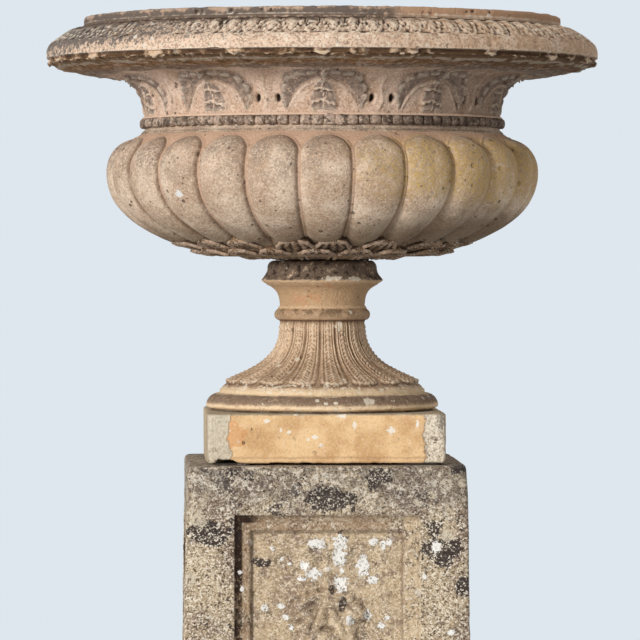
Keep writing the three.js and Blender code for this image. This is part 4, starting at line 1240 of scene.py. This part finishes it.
def belly_outline():
    """The belly's turned outline in named stretches: out under the foot, up the outside to the
    channel, in through the wall and down the inside to the rod's hole."""
    lift = SHOULDER_Z - BELLY_Z
    foot_pull = CALYX_FOOT_RADIUS + 0.645 * (BELLY_RADIUS - CALYX_FOOT_RADIUS)
    shoulder_pull = SHOULDER_RADIUS + 0.55 * (BELLY_RADIUS - SHOULDER_RADIUS)
    widest = on_bowl(BELLY_RADIUS, BELLY_Z)
    neck_inside = on_bowl(CHANNEL_RADIUS - BOWL_WALL, SEAM_Z)
    wide_inside = on_bowl(BELLY_RADIUS - BOWL_WALL, BELLY_Z)
    floor = on_bowl(120, BOWL_FLOOR)
    return in_order(
        [
            ("seat", straight(on_bowl(8.6, 0), on_bowl(68, 0), 2)),
            (
                "under",
                bend(
                    on_bowl(69, 1),
                    on_bowl(90, 5),
                    on_bowl(120, 3),
                    on_bowl(CALYX_FOOT_RADIUS - 6, 3),
                    8,
                ),
            ),
            (
                "lower belly",
                bend(
                    on_bowl(CALYX_FOOT_RADIUS, 4),
                    on_bowl(foot_pull, BELLY_Z * 0.285),
                    on_bowl(BELLY_RADIUS, BELLY_Z * 0.525),
                    widest,
                    52,
                ),
            ),
            (
                "upper belly",
                bend(
                    widest,
                    on_bowl(BELLY_RADIUS, BELLY_Z + lift * 0.5),
                    on_bowl(shoulder_pull, BELLY_Z + lift * 0.74),
                    on_bowl(SHOULDER_RADIUS, SHOULDER_Z),
                    38,
                ),
            ),
            (
                "shoulder",
                straight(on_bowl(250, SHOULDER_Z + 0.8), on_bowl(247.5, SHOULDER_Z + 3.4), 3),
            ),
            (
                "channel",
                straight(on_bowl(CHANNEL_RADIUS, SHOULDER_Z + 4), on_bowl(CHANNEL_RADIUS, SEAM_Z), 3),
            ),
            ("seam", straight(on_bowl(CHANNEL_RADIUS, SEAM_Z), neck_inside, 3)),
            ("inside", bend(neck_inside, on_bowl(215, 155), on_bowl(266, 139), wide_inside, 6)),
            ("inner belly", bend(wide_inside, on_bowl(266, 82), on_bowl(215, 40), floor, 9)),
            ("floor", straight(floor, on_bowl(8.6, BOWL_FLOOR), 4)),
        ]
    )


def belly():
    """Lays the gadroons on the outline as relief, rounds off small wear, and keeps for the
    material how far each point is from the edge of its gadroon and on which side it lies, which
    the material uses for painted shade."""
    outline, rows = belly_outline()
    bearings = gadroon_bearings()
    relief = np.zeros((len(outline), BELLY_COLUMNS))
    edge = np.full_like(relief, 30)
    side = around(bearings, GADROONS, GADROON_TURN) * GADROONS / np.pi + 0 * relief
    outside = slice(rows["lower belly"].start, rows["upper belly"].stop)
    run = length_along(outline[outside])[:, None]
    head_run = np.interp(BOWL_BOTTOM + HEAD_Z, outline[outside, 1], run[:, 0])
    lobes, inside = gadroons(outline[outside, :1], run, head_run, bearings[None, :])
    near_shoulder = ease(outline[outside, 1:], BOWL_BOTTOM + HEAD_Z + 8, BOWL_BOTTOM + SHOULDER_Z)
    relief[outside] = lobes * ease(run, 20, 44) * (1 - 0.5 * near_shoulder) - 6 * ease(run, 52, 38)
    relief[rows["shoulder"]] = -GADROON_DEPTH / 2
    edge[outside] = inside
    points = turned_rings(outline, relief, bearings)
    relief[outside] += 0.35 * crags(points[outside], 30, 82) + 0.2 * crags(points[outside], 9, 83)
    relief[outside] -= 1.6 * ease(crags(points[outside], 12, 84), 0.55, 0.8)
    points = turned_rings(outline, relief, bearings)
    return lattice_piece("bowl_belly_terracotta", points, True, {"edge": edge, "side": side})


def belly_finish():
    """Ochre pink clay with a sandy skin. Grey lichen films the heads of the lobes, yellow lichen
    grows on the right, painted shade lies along the right side of each lobe, and the belly grows
    darker towards the calyx, with more painted shade on its right side."""
    finish = Finish("belly_clay")
    colour, grain, relief = fired_clay(finish, (226, 203, 180), (196, 168, 144), 0.32)
    high = finish.z / MM - BOWL_BOTTOM
    cloud = finish.noise(0.035, 5, 0.65)
    crust = finish.noise(0.009, 4, 0.75)
    edge = finish.attribute("edge")
    lobe = edge.from_to(-1, 4)
    film = lobe * high.from_to(70, 140) * (cloud + crust * 0.3 - 0.15).from_to(0.36, 0.62)
    colour = finish.blend(colour, srgb(152, 136, 124), film * grain.from_to(0.62, 0.42) * 0.9)
    colour = finish.blend(colour, srgb(212, 176, 150), edge.from_to(1.0, -1.0) * 0.75)
    # Painted shade on the right side of each lobe beside its groove, away from the key light.
    side = finish.attribute("side")
    shaded = edge.from_to(7.0, 0.8) * edge.from_to(-0.8, 0.6) * side.from_to(-0.1, 0.5)
    colour = finish.blend(colour, srgb(104, 78, 60), shaded * (crust.from_to(0.3, 0.6) * 0.4 + 0.4))
    # Darker towards the foot and the calyx, and on the right side painted shade away from the key light.
    low_darkening_and_right_shade = high.from_to(90, 8) * 1.1 + (cloud - 0.5) * 0.8 + high.from_to(130, 60) * finish.x.from_to(-0.02, 0.2) * 0.45
    colour = finish.blend(colour, srgb(98, 78, 54), low_darkening_and_right_shade.from_to(0.3, 1.2) * 0.76)
    gold = high.from_to(50, 110) * high.from_to(178, 145) * finish.x.from_to(-0.08, 0.17)
    gold = (gold * 0.4 + (cloud - 0.5) * 0.5 + (crust - 0.5) * 0.6).from_to(0.06, 0.42)
    gold = gold * (grain * 0.5 + finish.noise(0.0055, 4, 0.8) * 0.5).from_to(0.38, 0.56)
    colour = finish.blend(colour, srgb(198, 164, 96), gold * 0.8)
    pores = finish.specks(0.0042, 0.2, 0.5) * cloud.from_to(0.62, 0.42)
    colour = finish.blend(colour, srgb(120, 96, 76), pores * 0.6)
    dots = finish.specks(0.006, 0.16, 0.5)
    colour = finish.blend(colour, srgb(84, 64, 50), dots * 0.7)
    white = finish.patches(((WHITE_SPOT, (0.006, 0.006, 0.006)),), 0.35, 0.004)
    colour = finish.blend(colour, srgb(232, 232, 232), white * 0.9)
    return finish.surface(colour, 0.9, relief + crust * 0.7, 0.0024)


dress(belly(), "urn", "bowl", belly_finish())


# Neck and rim of the bowl
# The upper part of the same pressing, joined to the belly while both were soft: a neck with
# standing acanthus, and a wide rolled rim whose underside carries the curling tips of the leaves
# and whose round is carved with small eggs.
NECK_COLUMNS = 800
NECK_RADIUS = 241
NECK_Z = 191
RIM_UNDER_RADIUS = 292
RIM_UNDER_Z = 251.5
RIM_RADIUS = 376
RIM_BAND_Z = 276
RIM_TOP_RADIUS = 327
RIM_TOP_Z = 316
LIP_RADIUS = 324.5
BOWL_HEIGHT = 328
EGGS = 84
MOTIFS = 10
MOTIF_TURN = math.radians(-1.85)


def acanthus(across, run):
    """Relief of the neck's leaf ornament, and marks for its leaves and eyes. `across` is measured
    from the middle of a motif and `run` up the neck, in millimetres. Each motif is an arch of
    leaf: a band between two outlines in polar form about a point 20 mm up, which rises outwards
    and ends in knobs, with a fine ridge inside it. In the arch stands a spear of folded leaf.
    Between two motifs runs a stem with a drilled eye on each side."""
    pitch = 2 * np.pi / MOTIFS * NECK_RADIUS
    rise = run - 20
    reach = np.hypot(across, rise)
    angle = np.degrees(np.arctan2(np.abs(across), rise))
    outer = np.interp(angle, [0, 22, 35, 49, 63, 77, 90, 108], [54, 54, 58, 60, 58.6, 57.4, 61, 60])
    inner = np.interp(angle, [0, 6, 40, 79, 98, 111], [30, 29.2, 26.6, 33.6, 43, 53.5])
    scallop = np.abs(np.cos(np.pi * (angle + 2) / 19)) ** 0.8 * ease(angle, 100, 84)
    share = (reach - inner) / (outer - 6 * (1 - scallop) - inner)
    band = ease(share, -0.05, 0.55) * ease(share, 1.08, 0.86) * ease(angle, 116, 102)
    knobs = 0.5 + 0.5 * scallop * ease(share, 0.35, 0.75)
    leaflets = 6.5 * band * (0.35 + 0.65 * np.clip(share, 0, 1)) * knobs
    inner_line = 2.4 * np.exp(-(((reach - inner + 2.5) / 1.5) ** 2)) * ease(run, 1, 6)
    inner_line = inner_line - 1.5 * np.exp(-(((reach - inner - 1.5) / 1.5) ** 2)) * ease(run, 1, 6)

    fold = ((run + np.abs(across) * 0.3 + 1.3 * np.tanh(across) - 15) / 18) % 1
    spear_half = np.interp(run, [0, 16, 34, 44, 54], [17, 17, 13, 6, 3]) + 2.5 * np.sin(np.pi * fold)
    spear_in = ease(spear_half - np.abs(across), -2, 5) * ease(run, -2, 5)
    panel = np.sin(np.pi * fold) ** 0.6
    across = across + 1.8 * np.cos(np.pi * run / 18)
    crease = 1.2 * np.exp(-((across / 1.3) ** 2))
    ridge = np.exp(-((fold / 0.16) ** 2))
    spear = spear_in * (2.2 + 2.0 * panel + 5.5 * ridge + crease)
    stalk = 1.4 * np.exp(-((across / 4.0) ** 2)) * ease(run, 34, 44) * ease(run, 84, 60)

    aside = np.abs(np.abs(across) - pitch / 2)
    shaft = 1.6 * ease(aside, 11, 4) + 2.4 * np.exp(-((aside / 1.6) ** 2)) * ease(run, 0, 6)
    eye = ((aside - 13) / 3.2) ** 2 + ((run - 18.5) / 5.4) ** 2
    eyes = 9.0 * np.exp(-(eye**2))
    body = ease(share, 0.02, 0.2) * ease(share, 1.12, 0.98) * ease(angle, 116, 106)
    folds = ease(spear_in, 0.5, 0.9) * ease(ridge, 0.5, 0.2) * ease(np.abs(across), 0.2, 1.4)
    leaf = np.clip(body + 1.2 * folds, 0, 1.5)
    return leaflets + inner_line + spear + stalk + shaft - eyes, leaf, np.exp(-(eye**2))


def curled_tips(bearings, share):
    """Relief under the rim, where the tips of the leaves curl over. `share` goes from 0 on the
    neck to 1 at the rim's edge. A tip hangs over each motif and each stem, widest in the middle
    of its length, ribbed along, with smaller ones between."""
    relief = 0
    for count, turn, height, width, length in (
        (MOTIFS, MOTIF_TURN, 4.5, 9.5, 0.86),
        (MOTIFS, MOTIF_TURN + np.pi / MOTIFS, 4, 7.0, 0.74),
        (2 * MOTIFS, MOTIF_TURN + np.pi / MOTIFS / 2, 3, 5.5, 0.97),
    ):
        off = np.degrees(around(bearings, count, turn))
        t = np.clip(share / length, 0, 1)
        half = width * np.sqrt(np.clip(np.sin(np.pi * t**0.75), 0, 1)) + 0.2
        blade = np.clip(1 - (off / half) ** 2, 0, 1) ** 0.5
        ribs = 1 - 0.25 * np.cos(off * 1.9) ** 8
        low = ease(t, 0.02, 0.4) * (1 - 0.65 * ease(share, 0.45, 0.95))
        relief = np.maximum(relief, height * blade * ribs * low)
    return relief


def eggs(bearings, run, length):
    """Relief of the small eggs on the rim's round, with a curved dart between each two. The eggs
    hang from the lip, each to a blunt point, and stop where the plain band begins."""
    off = np.abs(around(bearings, EGGS, 0)) * EGGS / np.pi
    down = 1 - run / length
    below = np.maximum(down - 0.12, 0)
    outline = np.clip(1 - (off / 0.74) ** 1.7 - (below / 0.5) ** 1.6, 0, 1)
    shell = np.clip((off / 0.99) ** 1.7 + (below / 0.64) ** 1.6, 0, 4)
    egg = 4.4 * np.sqrt(outline)
    rim = 3.0 * np.exp(-(((shell - 0.93) / 0.12) ** 2)) * ease(down, 0.76, 0.68)
    return (egg + rim) * ease(down, 0.0, 0.16) - 3.0 * ease(down, 0.76, 0.68)


def neck_outline():
    """The turned outline of the neck and rim in named stretches: up the outside from the seam,
    over the rim and the lip, down the throat and back through the wall at the seam."""
    rise = RIM_UNDER_Z - NECK_Z
    flare = NECK_RADIUS + 0.25 * (RIM_UNDER_RADIUS - NECK_RADIUS)
    lip_edge = on_bowl(LIP_RADIUS - 5, BOWL_HEIGHT - 4)
    throat, waist = on_bowl(284, 283.5), on_bowl(NECK_RADIUS - BOWL_WALL, NECK_Z + 9)
    inside, widest = NECK_RADIUS - BOWL_WALL, on_bowl(RIM_RADIUS - 0.8, RIM_BAND_Z)
    return in_order(
        [
            (
                "channel",
                straight(on_bowl(CHANNEL_RADIUS, SEAM_Z + 0.3), on_bowl(CHANNEL_RADIUS, 189), 3),
            ),
            ("fillet", straight(on_bowl(246, 189.8), on_bowl(245.5, 192.2), 3)),
            (
                "neck",
                bend(
                    on_bowl(NECK_RADIUS, NECK_Z + 2),
                    on_bowl(NECK_RADIUS, NECK_Z + rise * 0.58),
                    on_bowl(flare, NECK_Z + rise * 0.94),
                    on_bowl(RIM_UNDER_RADIUS, RIM_UNDER_Z),
                    38,
                ),
            ),
            ("under rim", straight(on_bowl(RIM_UNDER_RADIUS, RIM_UNDER_Z), on_bowl(365, 259.5), 15)),
            ("edge", bend(on_bowl(369, 260.5), on_bowl(374, 261), on_bowl(375, 264), on_bowl(375, 268), 8)),
            ("groove", straight(on_bowl(372.5, 269.5), on_bowl(372.5, 271.2), 2)),
            ("band", straight(on_bowl(375.3, 272), widest, 3)),
            (
                "round",
                bend(
                    widest,
                    on_bowl(RIM_RADIUS + 1, RIM_BAND_Z + 21),
                    on_bowl(349.5, RIM_TOP_Z - 10),
                    on_bowl(RIM_TOP_RADIUS, RIM_TOP_Z),
                    28,
                ),
            ),
            ("lip", straight(on_bowl(LIP_RADIUS, RIM_TOP_Z + 1), on_bowl(LIP_RADIUS, BOWL_HEIGHT - 4), 4)),
            ("lip edge", rounded(lip_edge, 5, 4, 15, 90, 3)),
            ("top", straight(on_bowl(318, BOWL_HEIGHT), on_bowl(303, BOWL_HEIGHT), 3)),
            ("mouth", bend(on_bowl(300, 326), on_bowl(320, 306), on_bowl(312, 285), throat, 5)),
            ("throat", bend(throat, on_bowl(235, 280), on_bowl(inside, 257), waist, 4)),
            ("wall", straight(waist, on_bowl(CHANNEL_RADIUS - 14, SEAM_Z + 0.3), 2)),
        ]
    )


def neck_and_rim():
    """Lays the acanthus, curled tips and eggs on the outline as relief, with the wear of each
    stretch, and keeps marks that the material reads. The rim's lower edge is cut back 5 mm,
    except for ragged three-cornered tips, two to a motif, and lumps between them."""
    outline, rows = neck_outline()
    bearings = np.linspace(0, 2 * np.pi, NECK_COLUMNS, endpoint=False)
    relief = np.zeros((len(outline), NECK_COLUMNS))
    marks = {name: np.zeros_like(relief) for name in ("leaf", "eye", "under_rim_shade")}

    neck = slice(rows["neck"].start, rows["neck"].stop + 3)
    run = length_along(outline[neck])[:, None]
    across = around(bearings, MOTIFS, MOTIF_TURN)[None, :] * NECK_RADIUS
    sway = 2.2 * lumps(np.stack(np.broadcast_arrays(across, run, 0 * run + 5), -1), 30, 70)
    relief[neck], marks["leaf"][neck], marks["eye"][neck] = acanthus(across + sway, run)

    under = slice(rows["under rim"].start, rows["under rim"].stop)
    share = length_along(outline[under])[:, None]
    tips = curled_tips(bearings[None, :], (share + 14) / (share.max() + 14))
    relief[under] = np.maximum(relief[under], tips)
    marks["leaf"][under] = ease(tips, 1, 3)
    marks["under_rim_shade"][under] = share / share.max()

    edge = slice(rows["edge"].start, rows["groove"].stop)
    up = np.linspace(0, 1, edge.stop - edge.start)[:, None]
    aside = np.abs(around(bearings, 2 * MOTIFS, MOTIF_TURN))[None, :] * RIM_RADIUS
    points = turned_rings(outline, relief, bearings)[edge]
    tip = ease(aside - 13 * (up - 0.05) + 6 * crags(points, 20, 86), 2, -2)
    lump = ease(crags(points, 13, 87), 0.0, 0.4) * 0.7
    relief[edge] = -5.0 * (1 - np.maximum(tip, lump))
    marks["leaf"][edge] = np.maximum(tip, lump * ease(up, 0.35, 0.6))
    marks["under_rim_shade"][edge] = 1

    rim = rows["round"]
    run = length_along(outline[rim])[:, None]
    egg = eggs(bearings[None, :], run, run.max())
    points = turned_rings(outline, relief, bearings)
    relief[rim] = egg * (0.35 + 0.65 * ease(crags(points[rim], 70, 81), -0.6, 0.1))

    rough = np.zeros((len(outline), 1))
    rough[neck] = 0.55
    rough[under] = 2.0
    rough[rim] = 0.8
    rough[rows["lip"].start : rows["top"].stop] = 0.9
    wear = rough * (0.7 * crags(points, 24, 82) + 0.8 * crags(points, 8, 83))
    pits = ease(crags(points, 13, 84), 0.34, 0.62) * ease(rough, 0.5, 0.9)
    chips = ease(crags(points, 30, 85), 0.3, 0.7) * ease(outline[:, :1], 345, 368)
    chips[: rows["edge"].start] = 0
    relief = relief + wear - 1.9 * pits - 2.2 * chips
    marks["hollow"] = hollows(relief)
    points = turned_rings(outline, relief, bearings)
    return lattice_piece("bowl_neck_terracotta", points, True, marks)


def neck_finish():
    """Pinkish clay, bare on the ground of the neck. Grey crust covers the raised leaves, and the rim
    is mottled with cream, dark grey and black. Painted shade, with some dirt, fills the hollows and
    the underside of the rim; painted shade also darkens the drilled eyes, the channel behind the
    beads, the right side of the neck and, in tan, of the rim and lip, with a painted shadow under
    the rim's band; painted highlight lightens the crests and the leaf tips at the rim's edge."""
    finish = Finish("neck_clay")
    colour, grain, relief = fired_clay(finish, (228, 201, 182), (201, 170, 147), 0.34)
    high = finish.z / MM - BOWL_BOTTOM
    cloud = finish.noise(0.035, 5, 0.65)
    crust = finish.noise(0.009, 4, 0.75)
    leaf = finish.attribute("leaf")
    under_rim_shade = finish.attribute("under_rim_shade")
    edge = under_rim_shade.from_to(0.9, 1.0)
    # Painted shade, with some dirt, under the rim: browner and darker from the neck out towards the rim's edge.
    colour = finish.blend(colour, srgb(150, 112, 76), under_rim_shade.from_to(0.0, 0.5) * crust.from_to(0.7, 0.5))
    colour = finish.blend(colour, srgb(86, 62, 40), under_rim_shade.from_to(0.0, 0.3) * crust.from_to(0.46, 0.4) * 0.8)
    # Painted shade on the right side of the neck below the rim's band, away from the key light.
    painted_right_shade = finish.x.from_to(0.02, 0.22) * high.from_to(272, 268) * (under_rim_shade * 0.4 + 0.6)
    colour = finish.blend(colour, srgb(94, 68, 46), painted_right_shade * cloud.from_to(0.2, 0.5) * 0.85)
    grey = (crust * 0.5 + grain * 0.5 + leaf * 0.08).from_to(0.49, 0.57)
    grey = leaf.from_to(0.3, 0.9) * (1 - edge) * grey
    greys = finish.blend(srgb(98, 88, 84), srgb(146, 130, 118), finish.noise(0.006, 4, 0.8).from_to(0.42, 0.58))
    colour = finish.blend(colour, greys, grey * (1 - under_rim_shade * 0.6) * 0.85)
    # Painted shade in the channel behind the bead row.
    low = high.from_to(190.2, 189.4)
    colour = finish.blend(colour, srgb(104, 84, 68), low * 0.8)
    colour = finish.blend(colour, srgb(236, 206, 182), high.from_to(193.5, 192) * (1 - low) * 0.8)
    # Painted shade on the cut-back ground at the rim's lower edge, painted highlight on the leaf tips there, and
    # a painted shadow line under the band.
    colour = finish.blend(colour, srgb(112, 86, 62), edge * (1 - leaf) * crust.from_to(0.7, 0.5) * 0.9)
    colour = finish.blend(colour, srgb(226, 198, 168), edge * leaf * crust.from_to(0.38, 0.5) * 0.85)
    colour = finish.blend(colour, srgb(84, 60, 44), edge * high.from_to(266.5, 268.5) * cloud.from_to(0.56, 0.42))
    rim = high.from_to(270.5, 272)
    carved = rim * high.from_to(284, 290)
    mottle = finish.noise(0.007, 4, 0.75)
    colour = finish.blend(colour, srgb(238, 212, 188), rim * 0.7)
    rough = (finish.grit(0.0022) * 0.5 + grain * 0.5).from_to(0.47, 0.36)
    colour = finish.blend(colour, srgb(150, 122, 102), rim * rough * 0.6)
    colour = finish.blend(colour, srgb(116, 94, 76), carved * mottle.from_to(0.47, 0.39) * 0.85)
    colour = finish.blend(colour, srgb(250, 240, 222), rim * mottle.from_to(0.53, 0.62) * 0.7)
    # Painted shade: a warmer tan on the right side of the rim, away from the key light.
    shaded_right_tan = finish.x.from_to(0.0, 0.16) * cloud.from_to(0.3, 0.6)
    colour = finish.blend(colour, srgb(176, 138, 102), rim * shaded_right_tan * 0.55)
    soot = finish.noise(0.03, 5, 0.8) + (crust - 0.5) * 0.5
    sooted = finish.x * -3.2 + high.from_to(274, 292) * 0.5 + (mottle - 0.5) * 3.6
    colour = finish.blend(colour, srgb(92, 87, 86), rim * sooted.from_to(1.1, 1.35) * 0.88)
    black = soot + high.from_to(318, 296) * 0.1
    black = carved * finish.x.from_to(0.12, 0.02) * black.from_to(0.5, 0.45)
    colour = finish.blend(colour, srgb(58, 50, 45), black * 0.9)
    lip = high.from_to(314, 317)
    lip_crust = finish.noise(0.02, 4, 0.7) + high.from_to(321, 327) * 0.12
    colour = finish.blend(colour, srgb(196, 168, 146), lip * 0.85)
    # Painted shade: the lip is tan on its right side, away from the key light.
    colour = finish.blend(colour, srgb(186, 148, 118), lip * finish.x.from_to(0.0, 0.14) * 0.8)
    left = finish.x.from_to(0.1, 0.07)
    colour = finish.blend(colour, srgb(100, 91, 85), lip * left * lip_crust.from_to(0.67, 0.55) * 0.9)
    crown = carved * high.from_to(306, 311) * high.from_to(319, 317) * (left * 0.6 + 0.4)
    colour = finish.blend(colour, srgb(104, 88, 76), crown * crust.from_to(0.66, 0.46) * 0.85)
    # Painted shade, with some dirt, in the hollows, and painted highlight on the crests, most on the carved rim.
    hollow = finish.attribute("hollow")
    deep = hollow.from_to(0.25, 1.3) * (0.35 + carved * 0.6)
    colour = finish.blend(colour, srgb(64, 48, 38), deep)
    painted_crest_highlight = hollow.from_to(-0.3, -1.2) * (0.25 + carved * 0.5) * (1 - crown)
    colour = finish.blend(colour, srgb(252, 240, 220), painted_crest_highlight)
    # Painted shade: the drilled eyes nearly black.
    colour = finish.blend(colour, srgb(36, 27, 22), finish.attribute("eye").from_to(0.25, 0.7) * 0.92)
    white = finish.specks(0.011, 0.16, 0.4)
    colour = finish.blend(colour, srgb(236, 230, 218), white * (rim * 0.6 + 0.1))
    return finish.surface(colour, 0.9, relief + crust * 0.8, 0.0024)


dress(neck_and_rim(), "urn", "bowl", neck_finish())


# Bead row
# A hundred long beads in the channel under the neck, pressed with the bowl. Each has weathered to
# its own size, and where two have lost their gap they run together. The few at the front, by
# the mould's seam, are swollen and rough.
BEADS = 100
BEAD_Z = 183.4
BEAD_HALF_HEIGHT = 6.6
BEAD_HALF_WIDTH = 7.9
BEAD_DEPTH = 7.0
BEAD_SEAT_RADIUS = 242.5
SWOLLEN_SPREAD = 0.085


def bead_row():
    """One ball in rings, squared by a power of 0.45, is copied to each place with a random width,
    height and depth of its own. Near the front they grow wider and taller and rougher, by
    exp(-(bearing / spread)^2)."""
    polar = np.linspace(np.pi - 0.35, 0.35, 6)[:, None]
    turn = np.linspace(0, 2 * np.pi, 8, endpoint=False) + np.pi / 8
    broad, level = np.sin(polar) ** 0.45, np.cos(polar) + 0 * turn
    aside = broad * np.sign(np.cos(turn)) * np.abs(np.cos(turn)) ** 0.45
    out = -broad * np.sign(np.sin(turn)) * np.abs(np.sin(turn)) ** 0.45
    place = np.linspace(0, 2 * np.pi, BEADS, endpoint=False)[:, None, None]
    rng = np.random.default_rng(90)
    wide, deep, tall = rng.uniform(0.9, 1.04, (3, BEADS, 1, 1))
    swollen = np.exp(-((around(place, 1, 0) / SWOLLEN_SPREAD) ** 2))
    bearing = place + aside * BEAD_HALF_WIDTH * wide * (1 + 0.2 * swollen) / BEAD_SEAT_RADIUS
    radius = BEAD_SEAT_RADIUS + out * BEAD_DEPTH * deep
    height = BOWL_BOTTOM + BEAD_Z + level * BEAD_HALF_HEIGHT * tall * (1 + 0.22 * swollen)
    points = np.stack([radius * np.sin(bearing), -radius * np.cos(bearing), height], axis=-1)
    worn = points + (crags(points, 8, 91, 2) * (0.5 + 1.6 * swollen))[..., None]
    return lattice_piece("bead_row_terracotta", worn, False)


def bead_finish():
    """Clay with a grey crust, darker towards the right side of the row in painted shade."""
    finish = Finish("bead_clay")
    colour, grain, relief = fired_clay(finish, (192, 170, 154), (146, 127, 113), 0.4)
    crust = finish.noise(0.012, 4, 0.7)
    colour = finish.blend(colour, srgb(84, 72, 64), crust.from_to(0.52, 0.4) * 0.85)
    # Painted shade on the right side of the row, away from the key light.
    colour = finish.blend(colour, srgb(66, 54, 46), finish.x.from_to(0.02, 0.12) * 0.55)
    return finish.surface(colour, 0.9, relief + crust * 0.6, 0.002)


dress(bead_row(), "urn", "bowl", bead_finish())


# Calyx
# Two tiers of broad leaves that clasp the foot of the bowl, pressed by hand and sprigged on while
# the clay was soft. Their edges are thick and rolled, and grey lichen grows on them.
CALYX_LEAVES = 18
CALYX_TURN = math.radians(-15.5)
LEAF_STEPS = 26
LEAF_ACROSS = 17


def calyx_tier(name, turn, start, end, lift, half_width, seed):
    """Each leaf is a closed sheet that lies on the belly: its cross-section runs over the front
    from edge to edge and back behind, and its rings follow the bowl's outline from one radius out
    to another. The width goes as the cube root of 1 - v^5 with shallow lobes, the front has ribs
    that fan out, and the edges are thick and stand a little off the bowl at the tip."""
    rng = np.random.default_rng(seed)
    outline, rows = belly_outline()
    outline = outline[rows["under"].start : rows["lower belly"].stop]
    v = np.linspace(0, 1, LEAF_STEPS)
    radii = start + (end - start) * v
    path = np.stack([radii, np.interp(radii, outline[:, 0], outline[:, 1])], axis=1)
    along = np.gradient(path, axis=0)
    along = along / np.hypot(*along.T)[:, None]
    size = rng.uniform(0.86, 1.08, (CALYX_LEAVES, 1, 1))
    lobes = 1 - 0.08 * np.cos(2 * np.pi * 4.5 * v) * ease(v, 0.3, 0.6)
    width = (1 - v**5 * 0.985) ** 0.33 * lobes
    u = np.linspace(-1, 1, LEAF_ACROSS)
    across = np.concatenate([u, u[::-1]])
    front = np.concatenate([np.ones_like(u), np.zeros_like(u)])
    edge = np.sqrt(np.clip(1 - across**6, 0, 1))
    roll = 2.2 * ease(np.abs(across), 0.6, 0.84) + 2.2 * ease(v, 0.84, 0.95)[:, None]
    ribs = 1.5 * np.cos(across * 14) * ease(v, 0.2, 0.5)[:, None]
    rise = lift + 7.0 * ease(v, 0.4, 0.0)[:, None] + edge * np.where(front > 0, 2.6 + roll + ribs, -3.0)
    rise = rise + 2.6 * ease(v, 0.55, 0.85)[:, None] * size
    place = (turn + np.arange(CALYX_LEAVES) * 2 * np.pi / CALYX_LEAVES)[:, None, None]
    lean = rng.uniform(-0.05, 0.05, (CALYX_LEAVES, 1, 1)) * v[:, None]
    bearing = place + lean + math.radians(half_width) * size * width[:, None] * across
    radius = radii[:, None] + along[:, 1:] * rise
    height = path[:, 1:] - along[:, :1] * rise
    points = np.stack([radius * np.sin(bearing), -radius * np.cos(bearing), height], axis=-1)
    points[..., 2] += 1.0 * crags(points, 19, seed + 1) + 0.4 * crags(points, 6, seed + 2)
    rolled = np.clip(ease(np.abs(across), 0.55, 0.8) + ease(v, 0.78, 0.95)[:, None], 0, 1)
    relief = np.broadcast_to(edge * np.where(front > 0, 2.6 + roll + ribs, 0), (LEAF_STEPS, 2 * LEAF_ACROSS))
    sunk = np.broadcast_to(hollows(relief) * front, points.shape[:-1])
    marks = {"rolled": np.broadcast_to(rolled * front, points.shape[:-1]), "hollow": sunk}
    return lattice_piece(name, points, False, marks)


def calyx_finish():
    """Brown dirty leaves whose grey and pink rolled edges are partly lichen and partly a painted
    highlight, stronger on the left, and painted shade, nearly black, where they tuck under.
    """
    finish = Finish("calyx_clay")
    colour, grain, relief = fired_clay(finish, (152, 122, 92), (106, 82, 60), 0.5)
    crust = finish.noise(0.01, 4, 0.7)
    rolled = finish.attribute("rolled")
    colour = finish.blend(colour, srgb(94, 72, 54), rolled.from_to(0.4, 0.1) * crust.from_to(0.62, 0.46) * 0.7)
    # Painted highlight, partly grey lichen, on the rolled edges, stronger on the left towards the key light.
    light = rolled.from_to(0.6, 0.95) * crust.from_to(0.36, 0.5) * (finish.x.from_to(0.2, 0.05) * 0.8 + 0.2)
    colour = finish.blend(colour, srgb(196, 170, 150), light * 0.6)
    # Painted shade, nearly black, in the hollows where the leaves tuck under.
    under = finish.attribute("hollow")
    colour = finish.blend(colour, srgb(58, 43, 34), under.from_to(0.2, 1.2) * 0.8)
    colour = finish.blend(colour, srgb(84, 66, 52), crust.from_to(0.42, 0.32) * 0.6)
    return finish.surface(colour, 0.9, relief + crust * 0.7, 0.002)


calyx_clay = calyx_finish()
lower_turn = CALYX_TURN + math.pi / CALYX_LEAVES
lower_calyx = calyx_tier("lower_calyx_terracotta", lower_turn, 96, 180, -6.0, 9.8, 97)
dress(lower_calyx, "urn", "bowl", calyx_clay)
upper_calyx = calyx_tier("upper_calyx_terracotta", CALYX_TURN, 92, 206, -8.0, 9.0, 93)
dress(upper_calyx, "urn", "bowl", calyx_clay)


# Tie rod and its nuts
# An iron rod draws the bowl, socle and plinth together. It pulls on a flat bar under the plinth's
# slab and on an iron washer in the bowl, over a lead one that keeps the water out.
coat(["lead_washer"], dull_lead("washer_lead"))
coat(["tie_rod", "iron_washer", "top_nut", "spreader_bar", "bottom_nut"], rusted_iron("rod_iron"))


# Ending
# The colours are shown through the standard view transform.
scene.view_settings.view_transform = "Standard"
